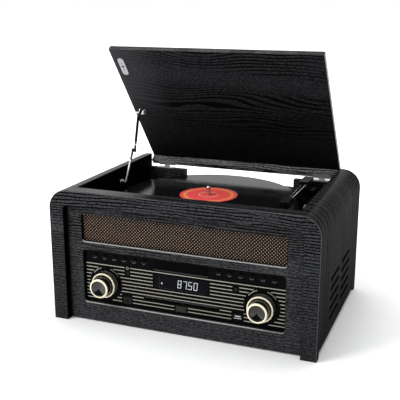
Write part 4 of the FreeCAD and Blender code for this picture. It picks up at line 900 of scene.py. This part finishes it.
# Display
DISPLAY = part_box("lcd_window")[0].y
DISPLAY_SUNK = 0.1
DIGIT_PROUD, DIGIT_BEVEL = 0.12, 0.08
DIGIT_LEFT, DIGIT_BASE, DIGIT_STEP, DIGIT_SLANT = -5.8, 77.0, 8.9, 0.09
DIGIT_WIDE, DIGIT_TALL, STROKE = 6.0, 12.6, 0.7
POINT_START, POINT_END = 1.4, 0.2
SIDE_MARK, SIDE_MARK_BEVEL = (-33.2, 80.0, -31.2, 82.0), 0.5
BORDERS, BORDER_PROUD, BORDER_BEVEL = ((-36.6, 73.4, -36.1, 92.2), (-36.6, 73.0, 40.0, 73.4)), 0.1, 0.05
SEGMENTS = {"8": "abcdefg", "7": "abc", "5": "acdfg", "0": "abcdef"}


def digit_bars(text, x):
    """The bars of a figure whose left side is at x, each from left and low to right and high."""
    edge, top, mid = x + DIGIT_WIDE, DIGIT_BASE + DIGIT_TALL, DIGIT_BASE + DIGIT_TALL / 2
    if text == ".":
        return [(x - POINT_START, DIGIT_BASE, x - POINT_END, DIGIT_BASE + STROKE)]
    places = {
        "a": (x, top - STROKE, edge, top),
        "b": (edge - STROKE, mid, edge, top),
        "c": (edge - STROKE, DIGIT_BASE, edge, mid),
        "d": (x, DIGIT_BASE, edge, DIGIT_BASE + STROKE),
        "e": (x, DIGIT_BASE, x + STROKE, mid),
        "f": (x, mid, x + STROKE, top),
        "g": (x, mid - STROKE / 2, edge, mid + STROKE / 2),
    }
    return [places[name] for name in SEGMENTS[text]]


def build_digits(shape):
    """Slanted seven-segment figures on the display's face, and a small mark at its left."""
    x = DIGIT_LEFT
    for text in ("8", "7", ".", "5", "0"):
        for bar in digit_bars(text, x):
            for vert in plate(shape, DISPLAY, *bar, DIGIT_PROUD, DISPLAY_SUNK, DIGIT_BEVEL):
                vert.co.x += DIGIT_SLANT * (vert.co.z - DIGIT_BASE * MM)
        if text != ".":
            x += DIGIT_STEP
    plate(shape, DISPLAY, *SIDE_MARK, DIGIT_PROUD, DISPLAY_SUNK, SIDE_MARK_BEVEL)


def build_screen_edge(shape):
    """The printed border of the screen, at its left and bottom."""
    for bar in BORDERS:
        plate(shape, DISPLAY, *bar, BORDER_PROUD, DISPLAY_SUNK, BORDER_BEVEL)


piece("screen_edge", build_screen_edge, "edge_grey", "cabinet")
piece("display_digits", build_digits, "lit_segment", "cabinet")

# Tongue and lower lip of the USB socket: half width, start, end, bottom and top from the front's middle
USB_TONGUE, USB_LIP, USB_BEVEL = (4.6, 0.8, 9.0, 0.5, 1.9), (5.6, 0.3, 1.0, -2.4, -1.8), 0.2


def build_tongue(shape):
    low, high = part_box("usb_socket")
    middle = (low + high) / 2
    for half, start, end, bottom, top in (USB_TONGUE, USB_LIP):
        first = Vector((middle.x - half * MM, low.y + start * MM, middle.z + bottom * MM))
        last = Vector((middle.x + half * MM, low.y + end * MM, middle.z + top * MM))
        block(shape, first, last, USB_BEVEL)


piece("usb_tongue", build_tongue, "usb_white", "cabinet")

# Gold rings of the knobs, one on the flange and one round the face: radius, and height over a base
FLANGE_HEIGHT, FACE_HEIGHT = 11.0, 26.3
FLANGE_RING = ((18.2, -0.3), (20.6, -0.9), (20.4, 0.1), (19.6, 0.6), (18.5, 0.5))
FACE_RING = ((13.1, -0.6), (15.4, -1.6), (15.2, -0.5), (14.4, -0.02), (13.5, -0.02))


def build_rings(joint):
    """Both rings of a knob, about its joint."""
    centre = joint_place(joint)

    def build(shape):
        lathe(shape, raised(FLANGE_RING, FLANGE_HEIGHT * MM), centre, OUT)
        lathe(shape, raised(FACE_RING, FACE_HEIGHT * MM), centre, OUT)
    return build


for knob in ("volume", "tuning"):
    piece(f"{knob}_rings", build_rings(f"{knob}_turn"), "gold_ring", knob)

# Marks on the strike plate: place along the lid, and radius
PLATE_MARKS = ((0.0, 2.2), (-7.0, 1.0), (7.0, 1.0))
PLATE_FACE, MARK_BORE, PLATE_MARK_HALF, PLATE_MARK_STEPS = 0.6, 0.05, 0.1, 24


def build_plate_mark(shape):
    low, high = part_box("lid_plate")
    middle = (low + high) / 2 - LID_THROUGH * PLATE_FACE * MM
    for shift, radius in PLATE_MARKS:
        profile = band(MARK_BORE, radius, PLATE_MARK_HALF)
        lathe(shape, profile, middle + LID_ALONG * shift * MM, -LID_THROUGH, steps=PLATE_MARK_STEPS)


piece("plate_mark", build_plate_mark, "black_moulded", "lid")

# Sleeve of the stay's upper bar: its ends are shares of the bar
SLEEVE_RADIUS, SLEEVE_BORE, SLEEVE_ROUND = 2.4 * MM, 0.6 * MM, 0.3 * MM
SLEEVE_START, SLEEVE_END, SLEEVE_STEPS = 0.1, 0.76, 24


def build_sleeve(shape):
    low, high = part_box("stay_upper_arm")
    head = joint_place("stay_upper_hinge")
    eye = high.z - head.z
    head_in_front = head.y - low.y < high.y - head.y
    top = Vector(((low.x + high.x) / 2, head.y, head.z))
    elbow = Vector((top.x, high.y - eye if head_in_front else low.y + eye, low.z + eye))
    along = elbow - top
    start, end = SLEEVE_START * along.length, SLEEVE_END * along.length
    rounded = SLEEVE_RADIUS - SLEEVE_ROUND
    profile = [
        (SLEEVE_BORE, start), (rounded, start), (SLEEVE_RADIUS, start + SLEEVE_ROUND),
        (SLEEVE_RADIUS, end - SLEEVE_ROUND), (rounded, end), (SLEEVE_BORE, end),
    ]
    lathe(shape, profile, top, along, steps=SLEEVE_STEPS)


piece("stay_sleeve", build_sleeve, "black_moulded", "stay_upper")

# Record label: radius, and height over the record
LABEL_PROFILE, LABEL_STEPS = ((3.8, -0.05), (49.6, -0.05), (49.6, 0.06), (49.2, 0.1), (3.8, 0.1)), 96


def build_label(shape):
    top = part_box("record")[1].z
    centre = Vector((spindle_axis.x, spindle_axis.y, 0.0))
    lathe(shape, raised(LABEL_PROFILE, top), centre, UP, steps=LABEL_STEPS)


piece("record_label", build_label, "paper_label", "platter")

# Studio floor, in metres
FLOOR_REACH, FLOOR_LEVEL = 40.0, -0.0002


def build_floor(shape):
    corners = ((-1, -1), (1, -1), (1, 1), (-1, 1))
    shape.faces.new([shape.verts.new((x * FLOOR_REACH, y * FLOOR_REACH, FLOOR_LEVEL)) for x, y in corners])


floor_mesh = mesh_of("floor", build_floor)
floor_mesh.materials.append(studio_floor())
floor = bpy.data.objects.new("floor", floor_mesh)
bpy.context.collection.objects.link(floor)

# Camera at the photograph's angle
AZIMUTH, ELEVATION, DISTANCE = 0.37289, 0.26805, 1.25238
AIM_X, AIM_Z = -22.24 * MM, 181.68 * MM
SENSOR_MM, LENS_MM, FAR_END = 36.0, 66.674, 200.0
middle_y = (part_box("cabinet_arch")[0].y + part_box("cabinet_arch")[1].y) / 2
level = math.cos(ELEVATION)
back = Vector((math.sin(AZIMUTH) * level, -math.cos(AZIMUTH) * level, math.sin(ELEVATION)))
lens = bpy.data.cameras.new("camera")
lens.sensor_width = SENSOR_MM
lens.lens = LENS_MM
lens.clip_end = FAR_END
camera = bpy.data.objects.new("camera", lens)
bpy.context.collection.objects.link(camera)
camera.location = Vector((AIM_X, middle_y, AIM_Z)) + back * DISTANCE
camera.rotation_euler = (-back).to_track_quat("-Z", "Y").to_euler()
bpy.context.scene.camera = camera
bpy.context.scene.view_settings.view_transform = "Standard"

# A white backdrop behind the player and along the horizon, and a dimmer room above it on the other sides
WHITE = (1.0, 1.0, 1.0)
world = bpy.data.worlds.new("studio")
bpy.context.scene.world = world
world.use_nodes = True
sky = Graph(world.node_tree)
direction = sky.coordinate("Generated")
away = sky.vectors("DOT_PRODUCT", direction, (-math.sin(AZIMUTH), math.cos(AZIMUTH), 0.0), "Value")
behind = sky.ramp(away, (0.25, 0.0), (0.85, 1.0))
room = sky.ramp(sky.split(direction)[2], (0.08, 1.0), (0.12, 0.05), (0.34, 0.05), (0.5, 0.75))
background = sky.tree.nodes["Background"]
sky.feed(background.inputs["Color"], sky.mix(behind, room, WHITE))
background.inputs["Strength"].default_value = 1.0


def soft_box(name, place, aim, size, power):
    """A large square light that looks at a point."""
    data = bpy.data.lights.new(name, "AREA")
    data.shape = "SQUARE"
    data.size = size
    data.energy = power
    made = bpy.data.objects.new(name, data)
    bpy.context.collection.objects.link(made)
    made.location = place
    made.rotation_euler = (Vector(aim) - Vector(place)).to_track_quat("-Z", "Y").to_euler()


soft_box("key", place=(-1.2, -1.3, 1.6), aim=(0, 0, 0.12), size=1.0, power=34)
soft_box("top", place=(0.1, 0.5, 2.0), aim=(0, 0, 0.2), size=1.4, power=16)
